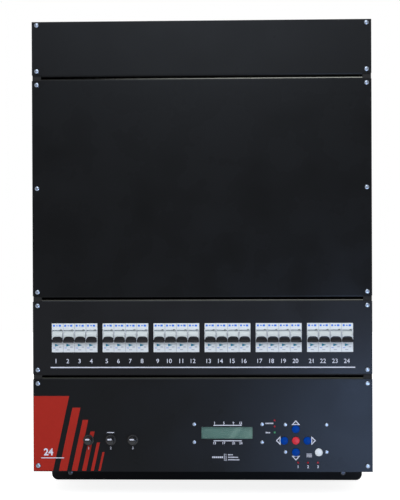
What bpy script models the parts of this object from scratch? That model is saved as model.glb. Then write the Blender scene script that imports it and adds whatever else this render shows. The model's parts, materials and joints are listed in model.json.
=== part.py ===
"""Wall-mounted stage lighting dimmer with its breakers, keypad and display.

Metres, +Z up. The front faces -Y and the back plate lies on the wall plane Y = 0.
The origin is on that plane, at mid-width and mid-height of the front.
"""

import math

import bmesh
import bpy
from mathutils import Vector

for leftover in list(bpy.data.objects):
    bpy.data.objects.remove(leftover, do_unlink=True)

# Front panels, from the top down, and the case behind them
FRONT_WIDTH = 0.525
CASE_DEPTH = 0.190
TERMINAL_COVER_HEIGHT = 0.086
MAIN_COVER_HEIGHT = 0.340
BREAKER_PANEL_HEIGHT = 0.118
CONTROL_PANEL_HEIGHT = 0.146
PANEL_GAP = 0.0025
SIDE_REVEAL = 0.0002
WALL_FLANGE_DROP = 0.044
WALL_FLANGE_CORNER = 0.010

# Folded sheet
CASE_SHEET = 0.0015
CASE_BEND = 0.0018
CASE_RAIL_WIDTH = 0.0135
PANEL_SHEET = 0.002
PANEL_BEND = 0.003
PANEL_FLANGE = 0.015
TRAY_FLANGE = 0.011
TRAY_BEND = 0.003
BEND_STEPS = 3
TRAY_BEND_STEPS = 2
FIT = 0.0003
HOLE_SIDES = 6

# Panel screws, wall fixings, cable entries and vents
SCREW_SIDE_INSET = 0.0076
SCREW_EDGE_INSET = 0.0093
SCREW_TOP_INSET = 0.0054
PANEL_SCREW_HOLE = 0.0045
RAIL_SCREW_HOLE = 0.0033
WALL_HOLE = 0.007
WALL_HOLE_SPACING = 0.458
WALL_HOLE_INSET = 0.0125
WALL_HOLE_STEPS = 10
WALL_FLANGE_STEPS = 5
KEYHOLE_SPACING = 0.400
KEYHOLE_HEAD = 0.013
KEYHOLE_DROP = 0.030
KEYHOLE_RISE = 0.010
CABLE_ENTRY_WIDTH = 0.160
CABLE_ENTRY_DEPTH = 0.040
CABLE_ENTRY_SPACING = 0.240
CABLE_ENTRY_FROM_WALL = 0.055
VENT_WIDTH = 0.0035
VENT_LENGTH = 0.050
VENT_PITCH = 0.017
VENT_ROW_MARGIN = 0.026
VENT_FROM_WALL = 0.135

# Breakers in banks, each nose level with its opening in the breaker panel
MODULE_WIDTH = 0.0177
MODULES_PER_BANK = 4
BANK_PITCH = 0.079
OPENING_SIDE_CLEARANCE = 0.00045
OPENING_END_CLEARANCE = 0.0003
NOSE_HEIGHT = 0.0446
NOSE_PROUD = 0.0012
NOSE_DEPTH = 0.016
BREAKER_HEIGHT = 0.080
BREAKER_RAIL_DEPTH = 0.060
BREAKER_HOOK = 0.005
MODULE_GROOVE_WIDTH = 0.0006
MODULE_GROOVE_DEPTH = 0.001

# Breaker toggles: a drum with a lever, turning in a pocket of the nose
PIVOT_ABOVE_CENTRE = 0.0026
PIVOT_DEPTH = 0.0084
DRUM_RADIUS = 0.010
DRUM_CLEARANCE = 0.0004
TOGGLE_WIDTH = 0.0152
TOGGLE_SIDE_CLEARANCE = 0.00035
LEVER_REACH = 0.0185
LEVER_ROOT = 0.0055
LEVER_TIP = 0.0036
LEVER_OFF_ANGLE = 30.0
LEVER_ON_ANGLE = 35.0
WINDOW_MARGIN = 0.0007
DRUM_STEPS = 12
TIP_STEPS = 3

# Mounting rail of the breakers and the comb that feeds them from below
HAT_WIDTH = 0.035
HAT_WEB = 0.027
HAT_DEPTH = 0.0075
HAT_SHEET = 0.001
HAT_BEND = 0.0013
COMB_SHEET = 0.0015
COMB_HEIGHT = 0.012
COMB_TOOTH_WIDTH = 0.005
COMB_TOOTH_INSERTION = 0.010
COMB_FROM_NOSE = 0.0375

# Control panel: window, keys and lamps, measured from the panel's right and lower edges
WINDOW_CENTRE = (0.2244, 0.0601)
WINDOW_SIZE = (0.079, 0.0187)
DISPLAY_CENTRE = (0.2224, 0.0598)
DISPLAY_SCREW_SPACING = (0.1048, 0.0276)
KEYPAD_CENTRE = (0.1024, 0.0519)
KEYPAD_SCREW_SPACING = (0.0634, 0.0422)
BOARD_SCREW_HOLE = 0.0034
KEY_CENTRE = (0.1182, 0.0483)
KEY_PITCH = 0.0178
KEY_MENU = (0.0830, 0.0304)
LAMPS_IN_LINE = 3
LAMP_COLUMN_TOP = (0.1508, 0.0794)
LAMP_COLUMN_PITCH = 0.0093
LAMP_ROW_LEFT = (0.1148, 0.0143)
LAMP_ROW_PITCH = 0.01525
LAMP_DIAMETER = 0.003
LAMP_CLEARANCE = 0.0003
LAMP_PROUD = 0.0005

# Keys: a domed cap, a flange behind the panel and a stem towards the switch
KEY_DIAMETER = 0.0118
KEY_CLEARANCE = 0.0004
KEY_PROUD = 0.0035
KEY_DOME = 0.0006
KEY_FLANGE_DIAMETER = 0.0148
KEY_FLANGE_THICKNESS = 0.0015
KEY_STEM_DIAMETER = 0.0048
KEY_STEM_LENGTH = 0.003
KEY_TRAVEL = 0.0012
KEY_SIDES = 14

# Boards behind the control panel
BOARD_SHEET = 0.0016
SPACER_DIAMETER = 0.006
DISPLAY_BOARD_SIZE = (0.116, 0.037)
BEZEL_BORDER = 0.0035
BEZEL_THICKNESS = 0.007
KEYPAD_BOARD_SIZE = (0.092, 0.076)
KEYPAD_BOARD_CENTRE = (0.1105, 0.0465)
KEYPAD_BOARD_BEHIND = 0.010
SWITCH_SIZE = 0.010

# Ribbon cable between the headers of the keypad board and the control board
HEADER_SIZE = (0.033, 0.009)
HEADER_DEPTH = 0.009
RIBBON_CENTRE = (0.1105, 0.0445)
RIBBON_WIDTH = 0.0254
RIBBON_THICKNESS = 0.0009
RIBBON_SAG = 0.014
RIBBON_LEAD = 0.018
RIBBON_SLOPE = 0.022
RIBBON_BEND = 0.009

# Fuse holders, measured from the panel's left and lower edges, and their caps
FIRST_FUSE = (0.0861, 0.0491)
FUSE_PITCH = 0.0343
FUSES = 3
FUSE_RING_DIAMETER = 0.0164
FUSE_RING_THICKNESS = 0.002
FUSE_RING_CHAMFER = 0.0005
FUSE_TUBE_DIAMETER = 0.0126
FUSE_TUBE_LENGTH = 0.030
FUSE_NUT_DIAMETER = 0.018
FUSE_NUT_THICKNESS = 0.003
FUSE_BORE_DIAMETER = 0.0104
FUSE_BORE_DEPTH = 0.022
FUSE_CAP_PROUD = 0.016
FUSE_CAP_BASE = 0.0126
FUSE_CAP_FACE = 0.0114
FUSE_CAP_ROUND = 0.0012
FUSE_BARREL_DIAMETER = 0.0096
FUSE_SLOT_WIDTH = 0.0018
FUSE_SLOT_DEPTH = 0.0016
FUSE_SIDES = 14

# Fan on the bottom plate
FAN_SIZE = 0.119
FAN_HEIGHT = 0.0254
FAN_CORNER = 0.006
FAN_BORE = 0.114
FAN_FROM_WALL = 0.092
FAN_MOTOR_DIAMETER = 0.044
FAN_MOTOR_THICKNESS = 0.005
FAN_STRUT_WIDTH = 0.005
FAN_HUB_DIAMETER = 0.042
FAN_BLADES = 7
FAN_BLADE_CLEARANCE = 0.0015
FAN_BLADE_SHEET = 0.0016
FAN_ROOT_PITCH = 48.0
FAN_TIP_PITCH = 26.0
FAN_SIDES = 24
FAN_CORNER_STEPS = 3
FAN_BLADE_STATIONS = 4
GUARD_FIRST_RING = 0.018
GUARD_RING_PITCH = 0.0095
GUARD_SLOT_WIDTH = 0.0055
GUARD_RINGS = 4
GUARD_SPOKE_WIDTH = 0.006
GUARD_SLOT_STEPS = 4

# Power stage behind the main cover
BAY_MARGIN = 0.010
CHOKE_TRAY_SIDE_CLEARANCE = 0.0255
CHOKE_TRAY_SHEET = 0.002
CHOKE_TRAY_STANDOFF = 0.045
CHOKE_ROWS = 3
CHOKE_PITCH_X = 0.058
CHOKE_PITCH_Z = 0.051
CHOKE_DIAMETER = 0.047
CHOKE_BORE = 0.020
CHOKE_THICKNESS = 0.026
CHOKE_SIDES = 8
CHOKE_BORE_SIDES = 6
HEATSINK_SIDE_CLEARANCE = 0.0205
HEATSINK_BASE = 0.008
HEATSINK_DEPTH = 0.056
HEATSINK_FIN = 0.0025
HEATSINK_FIN_PITCH = 0.0199
POWER_BOARD_INSET = 0.005
POWER_BOARD_HEIGHT = 0.110
POWER_MODULE_SIZE = (0.032, 0.060)
POWER_MODULE_HEIGHT = 0.020
POWER_MODULE_PITCH = 0.039

# Wiring terminals behind the terminal cover
TERMINAL_PITCH = 0.0145
TERMINAL_HEIGHT = 0.028
TERMINAL_DEPTH = 0.022
TERMINAL_FLOOR = 0.010
TERMINAL_WALL = 0.002
TERMINAL_STRIP_SIDE_CLEARANCE = 0.0325
SUPPLY_PITCH = 0.017
SUPPLY_WAYS = 5
SUPPLY_HEIGHT = 0.042
SUPPLY_DEPTH = 0.040
SUPPLY_FLOOR = 0.016
SUPPLY_BLOCK_SIDE_CLEARANCE = 0.0255
TERMINALS_BELOW_TOP = 0.058

# Control electronics in the lower bay
CONTROL_BOARD_SIZE = (0.130, 0.090)
CONTROL_BOARD_CENTRE = (0.1075, 0.080)
CONTROL_BOARD_STANDOFF = 0.012
TRANSFORMER_FROM_LEFT = 0.0925
TRANSFORMER_FROM_WALL = 0.075
TRANSFORMER_CORE = (0.066, 0.028, 0.055)
TRANSFORMER_COIL = (0.038, 0.048, 0.033)
TRANSFORMER_FOOT = (0.084, 0.028, 0.002)

# Places that follow from the sizes above
FRONT_HEIGHT = (
    TERMINAL_COVER_HEIGHT + MAIN_COVER_HEIGHT + BREAKER_PANEL_HEIGHT + CONTROL_PANEL_HEIGHT
    + 3 * PANEL_GAP
)
TOP = FRONT_HEIGHT / 2
BOTTOM = -FRONT_HEIGHT / 2
TERMINAL_COVER_BOTTOM = TOP - TERMINAL_COVER_HEIGHT
MAIN_COVER_TOP = TERMINAL_COVER_BOTTOM - PANEL_GAP
MAIN_COVER_BOTTOM = MAIN_COVER_TOP - MAIN_COVER_HEIGHT
BREAKER_PANEL_TOP = MAIN_COVER_BOTTOM - PANEL_GAP
BREAKER_PANEL_BOTTOM = BREAKER_PANEL_TOP - BREAKER_PANEL_HEIGHT
CONTROL_PANEL_TOP = BREAKER_PANEL_BOTTOM - PANEL_GAP
FRONT_Y = -CASE_DEPTH
PANEL_BACK_Y = FRONT_Y + PANEL_SHEET
RAIL_FRONT_Y = PANEL_BACK_Y + FIT
RAIL_BACK_Y = RAIL_FRONT_Y + CASE_SHEET
CASE_HALF = FRONT_WIDTH / 2 - SIDE_REVEAL
INNER_HALF = CASE_HALF - CASE_SHEET
RAIL_INNER = CASE_HALF - CASE_RAIL_WIDTH
FLANGE_HALF = RAIL_INNER - FIT
INNER_BACK_Y = -CASE_SHEET - FIT
FLOOR_Z = BOTTOM + CASE_SHEET + FIT
NOSE_Y = FRONT_Y - NOSE_PROUD
BREAKER_Z = (BREAKER_PANEL_TOP + BREAKER_PANEL_BOTTOM) / 2
HAT_FRONT_Y = NOSE_Y + BREAKER_RAIL_DEPTH
BANK_WIDTH = MODULE_WIDTH * MODULES_PER_BANK
BANKS = int(2 * FLANGE_HALF / BANK_PITCH)
CHANNELS = BANKS * MODULES_PER_BANK
PIVOT_Y = NOSE_Y + PIVOT_DEPTH
PIVOT_Z = BREAKER_Z + PIVOT_ABOVE_CENTRE
FAN_Y = -FAN_FROM_WALL
CHOKE_TRAY_HALF = INNER_HALF - CHOKE_TRAY_SIDE_CLEARANCE
CHOKE_COLUMNS = int(2 * CHOKE_TRAY_HALF / CHOKE_PITCH_X)
CHOKE_TRAY_TOP = MAIN_COVER_TOP - BAY_MARGIN
CHOKE_TRAY_BOTTOM = CHOKE_TRAY_TOP - CHOKE_ROWS * CHOKE_PITCH_Z
HEATSINK_TOP = CHOKE_TRAY_BOTTOM - BAY_MARGIN
HEATSINK_BOTTOM = MAIN_COVER_BOTTOM + BAY_MARGIN
HEATSINK_HALF = INNER_HALF - HEATSINK_SIDE_CLEARANCE
HEATSINK_FRONT_Y = INNER_BACK_Y - HEATSINK_DEPTH
TERMINALS_Z = TOP - TERMINALS_BELOW_TOP
KEYPAD_BOARD_FRONT_Y = PANEL_BACK_Y + KEYPAD_BOARD_BEHIND
CONTROL_BOARD_BACK_Y = INNER_BACK_Y - CONTROL_BOARD_STANDOFF


def material(name, colour, roughness, metallic=0.0):
    """A Principled material from an sRGB colour written as six hex digits."""
    channels = []
    for start in (0, 2, 4):
        value = int(colour[start:start + 2], 16) / 255
        channels.append(value / 12.92 if value <= 0.04045 else ((value + 0.055) / 1.055) ** 2.4)
    paint = bpy.data.materials.new(name)
    paint.use_nodes = True
    shader = paint.node_tree.nodes["Principled BSDF"]
    shader.inputs["Base Color"].default_value = (*channels, 1.0)
    shader.inputs["Roughness"].default_value = roughness
    shader.inputs["Metallic"].default_value = metallic
    return paint


BLACK_PAINT = material("black_paint", "26282a", 0.55)
WHITE_MOULDING = material("white_moulding", "dfe3e6", 0.40)
BLACK_MOULDING = material("black_moulding", "1b1c1e", 0.45)
BLUE_KEY = material("blue_key", "0b3f9a", 0.40)
RED_KEY = material("red_key", "d8383f", 0.40)
WHITE_KEY = material("white_key", "eceef0", 0.40)
ZINC_STEEL = material("zinc_steel", "a9adb0", 0.40, 1.0)
BARE_ALUMINIUM = material("bare_aluminium", "b6b9bc", 0.45, 1.0)
COPPER = material("copper", "b8714a", 0.40, 1.0)
GREEN_BOARD = material("green_board", "23523a", 0.50)
DISPLAY_GLASS = material("display_glass", "6f8f82", 0.25)
CORE_STEEL = material("core_steel", "4a4b4d", 0.50, 1.0)
GREY_RIBBON = material("grey_ribbon", "8d9194", 0.50)
CHOKE_GREY = material("choke_grey", "6d7060", 0.60)


def in_space(axis, point, along):
    """A 2D point and a place along an axis as a point in space."""
    if axis == "x":
        return (along, point[0], point[1])
    if axis == "y":
        return (point[0], along, point[1])
    return (point[0], point[1], along)


def along_vector(axis, length):
    """A vector along one axis."""
    return Vector([length if name == axis else 0.0 for name in "xyz"])


def extruded(rows, axis, start, end):
    """A closed solid from flat faces, each a list of 2D points, pushed out along an axis."""
    shape = bmesh.new()
    corners = {}
    for row in rows:
        for point in row:
            if point not in corners:
                corners[point] = shape.verts.new(in_space(axis, point, start))
    flats = [shape.faces.new([corners[point] for point in row]) for row in rows]
    pushed = bmesh.ops.extrude_face_region(shape, geom=flats)["geom"]
    moved = [item for item in pushed if isinstance(item, bmesh.types.BMVert)]
    bmesh.ops.translate(shape, verts=moved, vec=along_vector(axis, end - start))
    bmesh.ops.recalc_face_normals(shape, faces=shape.faces)
    return shape


def prism(outline, axis, start, end):
    """A closed outline of 2D points pushed out along an axis."""
    return extruded([outline], axis, start, end)


def block(low, high):
    """A box between two corners."""
    outline = [(low[0], low[1]), (high[0], low[1]), (high[0], high[1]), (low[0], high[1])]
    return prism(outline, "z", low[2], high[2])


def arc(centre, radius, start, end, steps):
    """Points on an arc, both ends included, with angles in degrees."""
    points = []
    for step in range(steps + 1):
        angle = math.radians(start + (end - start) * step / steps)
        points.append((centre[0] + radius * math.cos(angle), centre[1] + radius * math.sin(angle)))
    return points


def rod(axis, centre, diameter, start, end, sides):
    """A faceted cylinder along an axis."""
    last = 360 * (sides - 1) / sides
    turn = 180 / sides
    return prism(arc(centre, diameter / 2, turn, last + turn, sides - 1), axis, start, end)


def folded_line(corners, radius):
    """Points and left-hand side directions along a line whose corners are rounded."""
    points = [Vector(corner) for corner in corners]
    stations = []
    for here, following in ((points[0], points[1]), (points[-1], points[-1] * 2 - points[-2])):
        run = (following - here).normalized()
        stations.append((here, Vector((-run.y, run.x))))
    bends = []
    for before, corner, after in zip(points, points[1:], points[2:]):
        back = (before - corner).normalized()
        ahead = (after - corner).normalized()
        half = back.angle(ahead) / 2
        centre = corner + (back + ahead).normalized() * radius / math.sin(half)
        first = corner + back * radius / math.tan(half) - centre
        last = corner + ahead * radius / math.tan(half) - centre
        side = 1 if back.cross(ahead) > 0 else -1
        facing = math.atan2(first.y, first.x)
        for step in range(BEND_STEPS + 1):
            angle = facing - side * first.angle(last) * step / BEND_STEPS
            spoke = Vector((math.cos(angle), math.sin(angle)))
            bends.append((centre + spoke * radius, spoke * side))
    return [stations[0], *bends, stations[1]]


def folded_sheet(corners, thickness, outer_radius, axis, start, end):
    """Sheet folded along the line through its middle and pushed out along an axis."""
    stations = folded_line(corners, outer_radius - thickness / 2)
    left = [tuple(point + side * thickness / 2) for point, side in stations]
    right = [tuple(point - side * thickness / 2) for point, side in stations]
    strips = zip(left, left[1:], right[1:], right)
    return extruded([list(strip) for strip in strips], axis, start, end)


def pull_widest_face(shape, direction, distance):
    """Lengthen a shape from the largest of its faces that look along a direction."""
    ahead = Vector(direction)
    looking = [face for face in shape.faces if face.normal.dot(ahead) > 0.99]
    widest = max(looking, key=lambda face: face.calc_area())
    pulled = bmesh.ops.extrude_discrete_faces(shape, faces=[widest])["faces"][0]
    bmesh.ops.translate(shape, verts=pulled.verts, vec=ahead * distance)


def merged(shapes):
    """Several shapes in one, left as they are."""
    together = bmesh.new()
    for shape in shapes:
        mesh = bpy.data.meshes.new("part")
        shape.to_mesh(mesh)
        together.from_mesh(mesh)
        bpy.data.meshes.remove(mesh)
    return together


def with_modifier(shape, kind, **settings):
    """A shape after one of Blender's modifiers."""
    mesh = bpy.data.meshes.new("work")
    shape.to_mesh(mesh)
    work = bpy.data.objects.new("work", mesh)
    bpy.context.scene.collection.objects.link(work)
    modifier = work.modifiers.new(kind, kind)
    for name, value in settings.items():
        setattr(modifier, name, value)
    graph = bpy.context.evaluated_depsgraph_get()
    done = bpy.data.meshes.new_from_object(work.evaluated_get(graph))
    result = bmesh.new()
    result.from_mesh(done)
    bpy.data.objects.remove(work)
    bpy.data.meshes.remove(mesh)
    bpy.data.meshes.remove(done)
    return result


def combined(shape, operation, others):
    """A shape cut by others, or fused with them, one after another."""
    for other in others:
        mesh = bpy.data.meshes.new("tool")
        other.to_mesh(mesh)
        tool = bpy.data.objects.new("tool", mesh)
        bpy.context.scene.collection.objects.link(tool)
        shape = with_modifier(shape, "BOOLEAN", operation=operation, solver="EXACT", object=tool)
        bpy.data.objects.remove(tool)
        bpy.data.meshes.remove(mesh)
    return shape


def cut(shape, tools):
    """A shape with tools that don't meet each other cut out of it at once."""
    return combined(shape, "DIFFERENCE", [merged(tools)])


def fused(shape, others):
    """A shape joined with others that it meets."""
    return combined(shape, "UNION", others)


def turned(profile, axis_point, sides):
    """A profile of radius and depth pairs turned about a line along Y."""
    shape = bmesh.new()
    points = [shape.verts.new((radius, depth, 0.0)) for radius, depth in profile]
    edges = [shape.edges.new(pair) for pair in zip(points, points[1:])]
    bmesh.ops.spin(shape, geom=points + edges, cent=(0, 0, 0), axis=(0, 1, 0), dvec=(0, 0, 0),
                   angle=math.tau, steps=sides, use_merge=True, use_duplicate=False)
    bmesh.ops.remove_doubles(shape, verts=shape.verts, dist=1e-6)
    bmesh.ops.translate(shape, verts=shape.verts, vec=(axis_point[0], 0, axis_point[1]))
    bmesh.ops.recalc_face_normals(shape, faces=shape.faces)
    return shape


def mesh_of(name, shape, origin):
    """A mesh with smooth round faces, measured from its origin."""
    bmesh.ops.translate(shape, verts=shape.verts, vec=-origin)
    bmesh.ops.recalc_face_normals(shape, faces=shape.faces)
    mesh = bpy.data.meshes.new(name)
    shape.to_mesh(mesh)
    shape.free()
    mesh.shade_smooth()
    mesh.set_sharp_from_angle(angle=math.radians(30))
    return mesh


def place(name, mesh, paint, origin):
    """One named object at its place."""
    if not mesh.materials:
        mesh.materials.append(paint)
    body = bpy.data.objects.new(name, mesh)
    body.location = origin
    bpy.context.scene.collection.objects.link(body)
    return body


def add(name, shape, paint, origin=(0.0, 0.0, 0.0)):
    """One named object from a shape built in its final place."""
    corner = Vector(origin)
    return place(name, mesh_of(name, shape, corner), paint, corner)


def on_control_panel(spot):
    """A spot given from the control panel's right and lower edges, in the part's frame."""
    return (FRONT_WIDTH / 2 - spot[0], spot[1] + BOTTOM)


def four_corners(centre, spacing):
    """The four corners of a rectangle."""
    spots = []
    for side in (-1, 1):
        for level in (-1, 1):
            spots.append((centre[0] + side * spacing[0] / 2, centre[1] + level * spacing[1] / 2))
    return spots


def screw_heights(top, bottom, top_inset):
    """Heights of the screws near the ends of one panel."""
    return [top - top_inset, bottom + SCREW_EDGE_INSET]


TERMINAL_COVER_SCREWS = screw_heights(TOP, TERMINAL_COVER_BOTTOM, SCREW_TOP_INSET)
MAIN_COVER_SCREWS = screw_heights(MAIN_COVER_TOP, MAIN_COVER_BOTTOM, SCREW_EDGE_INSET)
MAIN_COVER_SCREWS.append((MAIN_COVER_TOP + MAIN_COVER_BOTTOM) / 2)
BREAKER_PANEL_SCREWS = screw_heights(BREAKER_PANEL_TOP, BREAKER_PANEL_BOTTOM, SCREW_EDGE_INSET)
CONTROL_PANEL_SCREWS = screw_heights(CONTROL_PANEL_TOP, BOTTOM, SCREW_EDGE_INSET)
ALL_SCREWS = TERMINAL_COVER_SCREWS + MAIN_COVER_SCREWS + BREAKER_PANEL_SCREWS + CONTROL_PANEL_SCREWS


def screw_holes(heights, diameter):
    """Cutters for screws through the ears and rails at both sides."""
    near = FRONT_Y - CASE_SHEET
    far = RAIL_BACK_Y + CASE_SHEET
    holes = []
    for side in (-1, 1):
        for height in heights:
            spot = (side * (FRONT_WIDTH / 2 - SCREW_SIDE_INSET), height)
            holes.append(rod("y", spot, diameter, near, far, HOLE_SIDES))
    return holes


def keyhole(x, z):
    """Cutter for a wall screw that drops into a narrow slot above a round head hole."""
    half_slot = WALL_HOLE / 2
    head = KEYHOLE_HEAD / 2
    meet = math.degrees(math.asin(half_slot / head))
    outline = arc((x, z), head, 90 + meet, 450 - meet, WALL_HOLE_STEPS)
    outline += arc((x, z + KEYHOLE_RISE), half_slot, 0, 180, WALL_HOLE_STEPS // 2)
    return prism(outline, "y", -CASE_SHEET - CASE_BEND, CASE_BEND)


def case_shell():
    """Back, sides and front rails folded from one sheet, with the wall flange below the back."""
    middle = CASE_SHEET / 2
    side = CASE_HALF - middle
    rail_y = RAIL_FRONT_Y + middle
    line = [(RAIL_INNER, rail_y), (side, rail_y), (side, -middle)]
    line += [(-x, y) for x, y in reversed(line)]
    shell = folded_sheet(line, CASE_SHEET, CASE_BEND, "z", BOTTOM, TOP)
    pull_widest_face(shell, (0, 0, -1), WALL_FLANGE_DROP)
    lowest = BOTTOM - WALL_FLANGE_DROP
    flange_corners = []
    for edge in shell.edges:
        run = edge.verts[0].co - edge.verts[1].co
        if abs(run.y) > middle and all(vert.co.z < lowest + middle for vert in edge.verts):
            flange_corners.append(edge)
    bmesh.ops.bevel(shell, geom=flange_corners, offset=WALL_FLANGE_CORNER, segments=WALL_FLANGE_STEPS,
                    affect="EDGES", profile=0.5, material=-1)
    tools = screw_holes(ALL_SCREWS, RAIL_SCREW_HOLE)
    for way in (-1, 1):
        hole = (way * WALL_HOLE_SPACING / 2, lowest + WALL_HOLE_INSET)
        tools.append(rod("y", hole, WALL_HOLE, -CASE_SHEET - CASE_BEND, CASE_BEND, WALL_HOLE_STEPS))
        tools.append(keyhole(way * KEYHOLE_SPACING / 2, TOP - KEYHOLE_DROP))
    add("case_shell", cut(shell, tools), BLACK_PAINT)


def tray(outer_z, inner_z):
    """End plate of the case: a shallow folded tray, notched at the front for the rails."""
    half = INNER_HALF - FIT
    low = (-half, RAIL_FRONT_Y, min(outer_z, inner_z))
    high = (half, INNER_BACK_Y, max(outer_z, inner_z))
    plate = block(low, high)
    open_side = [face for face in plate.faces if abs(face.calc_center_median().z - inner_z) < FIT]
    kept_sharp = set(open_side[0].edges)
    bent = [edge for edge in plate.edges if edge not in kept_sharp]
    bmesh.ops.delete(plate, geom=open_side, context="FACES_ONLY")
    bmesh.ops.bevel(plate, geom=bent, offset=TRAY_BEND, segments=TRAY_BEND_STEPS, affect="EDGES",
                    profile=0.5, material=-1)
    plate = with_modifier(plate, "SOLIDIFY", thickness=CASE_SHEET, offset=-1, use_even_offset=True)
    notches = []
    for way in (-1, 1):
        near = way * FLANGE_HALF
        far = way * FRONT_WIDTH / 2
        corner = (min(near, far), FRONT_Y, low[2] - CASE_SHEET)
        opposite = (max(near, far), RAIL_BACK_Y + FIT, high[2] + CASE_SHEET)
        notches.append(block(corner, opposite))
    return plate, notches


def top_plate():
    """Upper end plate with two cable entries and a row of vents."""
    plate, tools = tray(TOP, TOP - TRAY_FLANGE)
    below = TOP - TRAY_FLANGE - CASE_SHEET
    above = TOP + CASE_SHEET
    for way in (-1, 1):
        centre = way * CABLE_ENTRY_SPACING / 2
        low = (centre - CABLE_ENTRY_WIDTH / 2, -CABLE_ENTRY_FROM_WALL - CABLE_ENTRY_DEPTH / 2, below)
        high = (centre + CABLE_ENTRY_WIDTH / 2, -CABLE_ENTRY_FROM_WALL + CABLE_ENTRY_DEPTH / 2, above)
        tools.append(block(low, high))
    count = int(2 * (FLANGE_HALF - VENT_ROW_MARGIN) / VENT_PITCH)
    for number in range(count):
        centre = (number - (count - 1) / 2) * VENT_PITCH
        low = (centre - VENT_WIDTH / 2, -VENT_FROM_WALL - VENT_LENGTH / 2, below)
        high = (centre + VENT_WIDTH / 2, -VENT_FROM_WALL + VENT_LENGTH / 2, above)
        tools.append(block(low, high))
    add("top_plate", cut(plate, tools), BLACK_PAINT)


def ring_slot(centre, radius, start, end, low, high):
    """Cutter for one curved slot."""
    outline = arc(centre, radius - GUARD_SLOT_WIDTH / 2, start, end, GUARD_SLOT_STEPS)
    outline += reversed(arc(centre, radius + GUARD_SLOT_WIDTH / 2, start, end, GUARD_SLOT_STEPS))
    return prism(outline, "z", low, high)


def bottom_plate():
    """Lower end plate with the finger guard of the fan punched into it."""
    plate, tools = tray(BOTTOM, BOTTOM + TRAY_FLANGE)
    for ring in range(GUARD_RINGS):
        radius = GUARD_FIRST_RING + ring * GUARD_RING_PITCH
        land = math.degrees(GUARD_SPOKE_WIDTH / 2 / radius)
        for quarter in range(4):
            start = quarter * 90 + 45 + land
            tools.append(ring_slot((0.0, FAN_Y), radius, start, start + 90 - 2 * land,
                                   BOTTOM - CASE_SHEET, FLOOR_Z))
    add("bottom_plate", cut(plate, tools), BLACK_PAINT)


def folded_panel(top, bottom, fold_top, fold_bottom):
    """A front panel: a plate with flanges folded inwards between the rails and flat ears over them."""
    front = FRONT_Y + PANEL_SHEET / 2
    upper = top - (PANEL_SHEET / 2 if fold_top else 0)
    lower = bottom + (PANEL_SHEET / 2 if fold_bottom else 0)
    line = [(front, upper), (front, lower)]
    if fold_top:
        line.insert(0, (FRONT_Y + PANEL_FLANGE, upper))
    if fold_bottom:
        line.append((FRONT_Y + PANEL_FLANGE, lower))
    panel = folded_sheet(line, PANEL_SHEET, PANEL_BEND, "x", -FLANGE_HALF, FLANGE_HALF)
    for way in (-1, 1):
        pull_widest_face(panel, (way, 0, 0), FRONT_WIDTH / 2 - FLANGE_HALF)
    return panel


def plain_covers():
    """The terminal cover at the top and the main cover below it."""
    terminal = folded_panel(TOP, TERMINAL_COVER_BOTTOM, False, True)
    add("terminal_cover", cut(terminal, screw_holes(TERMINAL_COVER_SCREWS, PANEL_SCREW_HOLE)), BLACK_PAINT)
    main = folded_panel(MAIN_COVER_TOP, MAIN_COVER_BOTTOM, True, True)
    add("main_cover", cut(main, screw_holes(MAIN_COVER_SCREWS, PANEL_SCREW_HOLE)), BLACK_PAINT)


def bank_centre(number):
    """Middle of one breaker bank, across the front."""
    return (number - (BANKS - 1) / 2) * BANK_PITCH


def module_offset(number):
    """Middle of one breaker module, from the middle of its bank."""
    return (number - (MODULES_PER_BANK - 1) / 2) * MODULE_WIDTH


def breaker_panel():
    """Panel with one opening for the noses of each breaker bank."""
    panel = folded_panel(BREAKER_PANEL_TOP, BREAKER_PANEL_BOTTOM, True, True)
    tools = screw_holes(BREAKER_PANEL_SCREWS, PANEL_SCREW_HOLE)
    half_width = BANK_WIDTH / 2 + OPENING_SIDE_CLEARANCE
    half_height = NOSE_HEIGHT / 2 + OPENING_END_CLEARANCE
    for number in range(BANKS):
        centre = bank_centre(number)
        low = (centre - half_width, FRONT_Y - PANEL_SHEET, BREAKER_Z - half_height)
        high = (centre + half_width, PANEL_BACK_Y + PANEL_SHEET, BREAKER_Z + half_height)
        tools.append(block(low, high))
    add("breaker_panel", cut(panel, tools), BLACK_PAINT)


def lever_at_face(angle):
    """Height over the pivot that the lever's outer side reaches at the nose face."""
    half = LEVER_ROOT / 2
    turn = math.radians(angle)
    reach = (PIVOT_DEPTH + half * math.sin(turn)) / math.cos(turn)
    return reach * math.sin(turn) + half * math.cos(turn)


def toggle_pocket(centre):
    """Cutter for the round pocket behind one toggle and the window in the nose."""
    half = TOGGLE_WIDTH / 2 + TOGGLE_SIDE_CLEARANCE
    outline = arc((0.0, 0.0), DRUM_RADIUS + DRUM_CLEARANCE, 240, 480, DRUM_STEPS)
    outline.append((-PIVOT_DEPTH - MODULE_GROOVE_DEPTH, lever_at_face(LEVER_ON_ANGLE) + WINDOW_MARGIN))
    outline.append((-PIVOT_DEPTH - MODULE_GROOVE_DEPTH, -lever_at_face(LEVER_OFF_ANGLE) - WINDOW_MARGIN))
    return prism(outline, "x", centre - half, centre + half)


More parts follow.
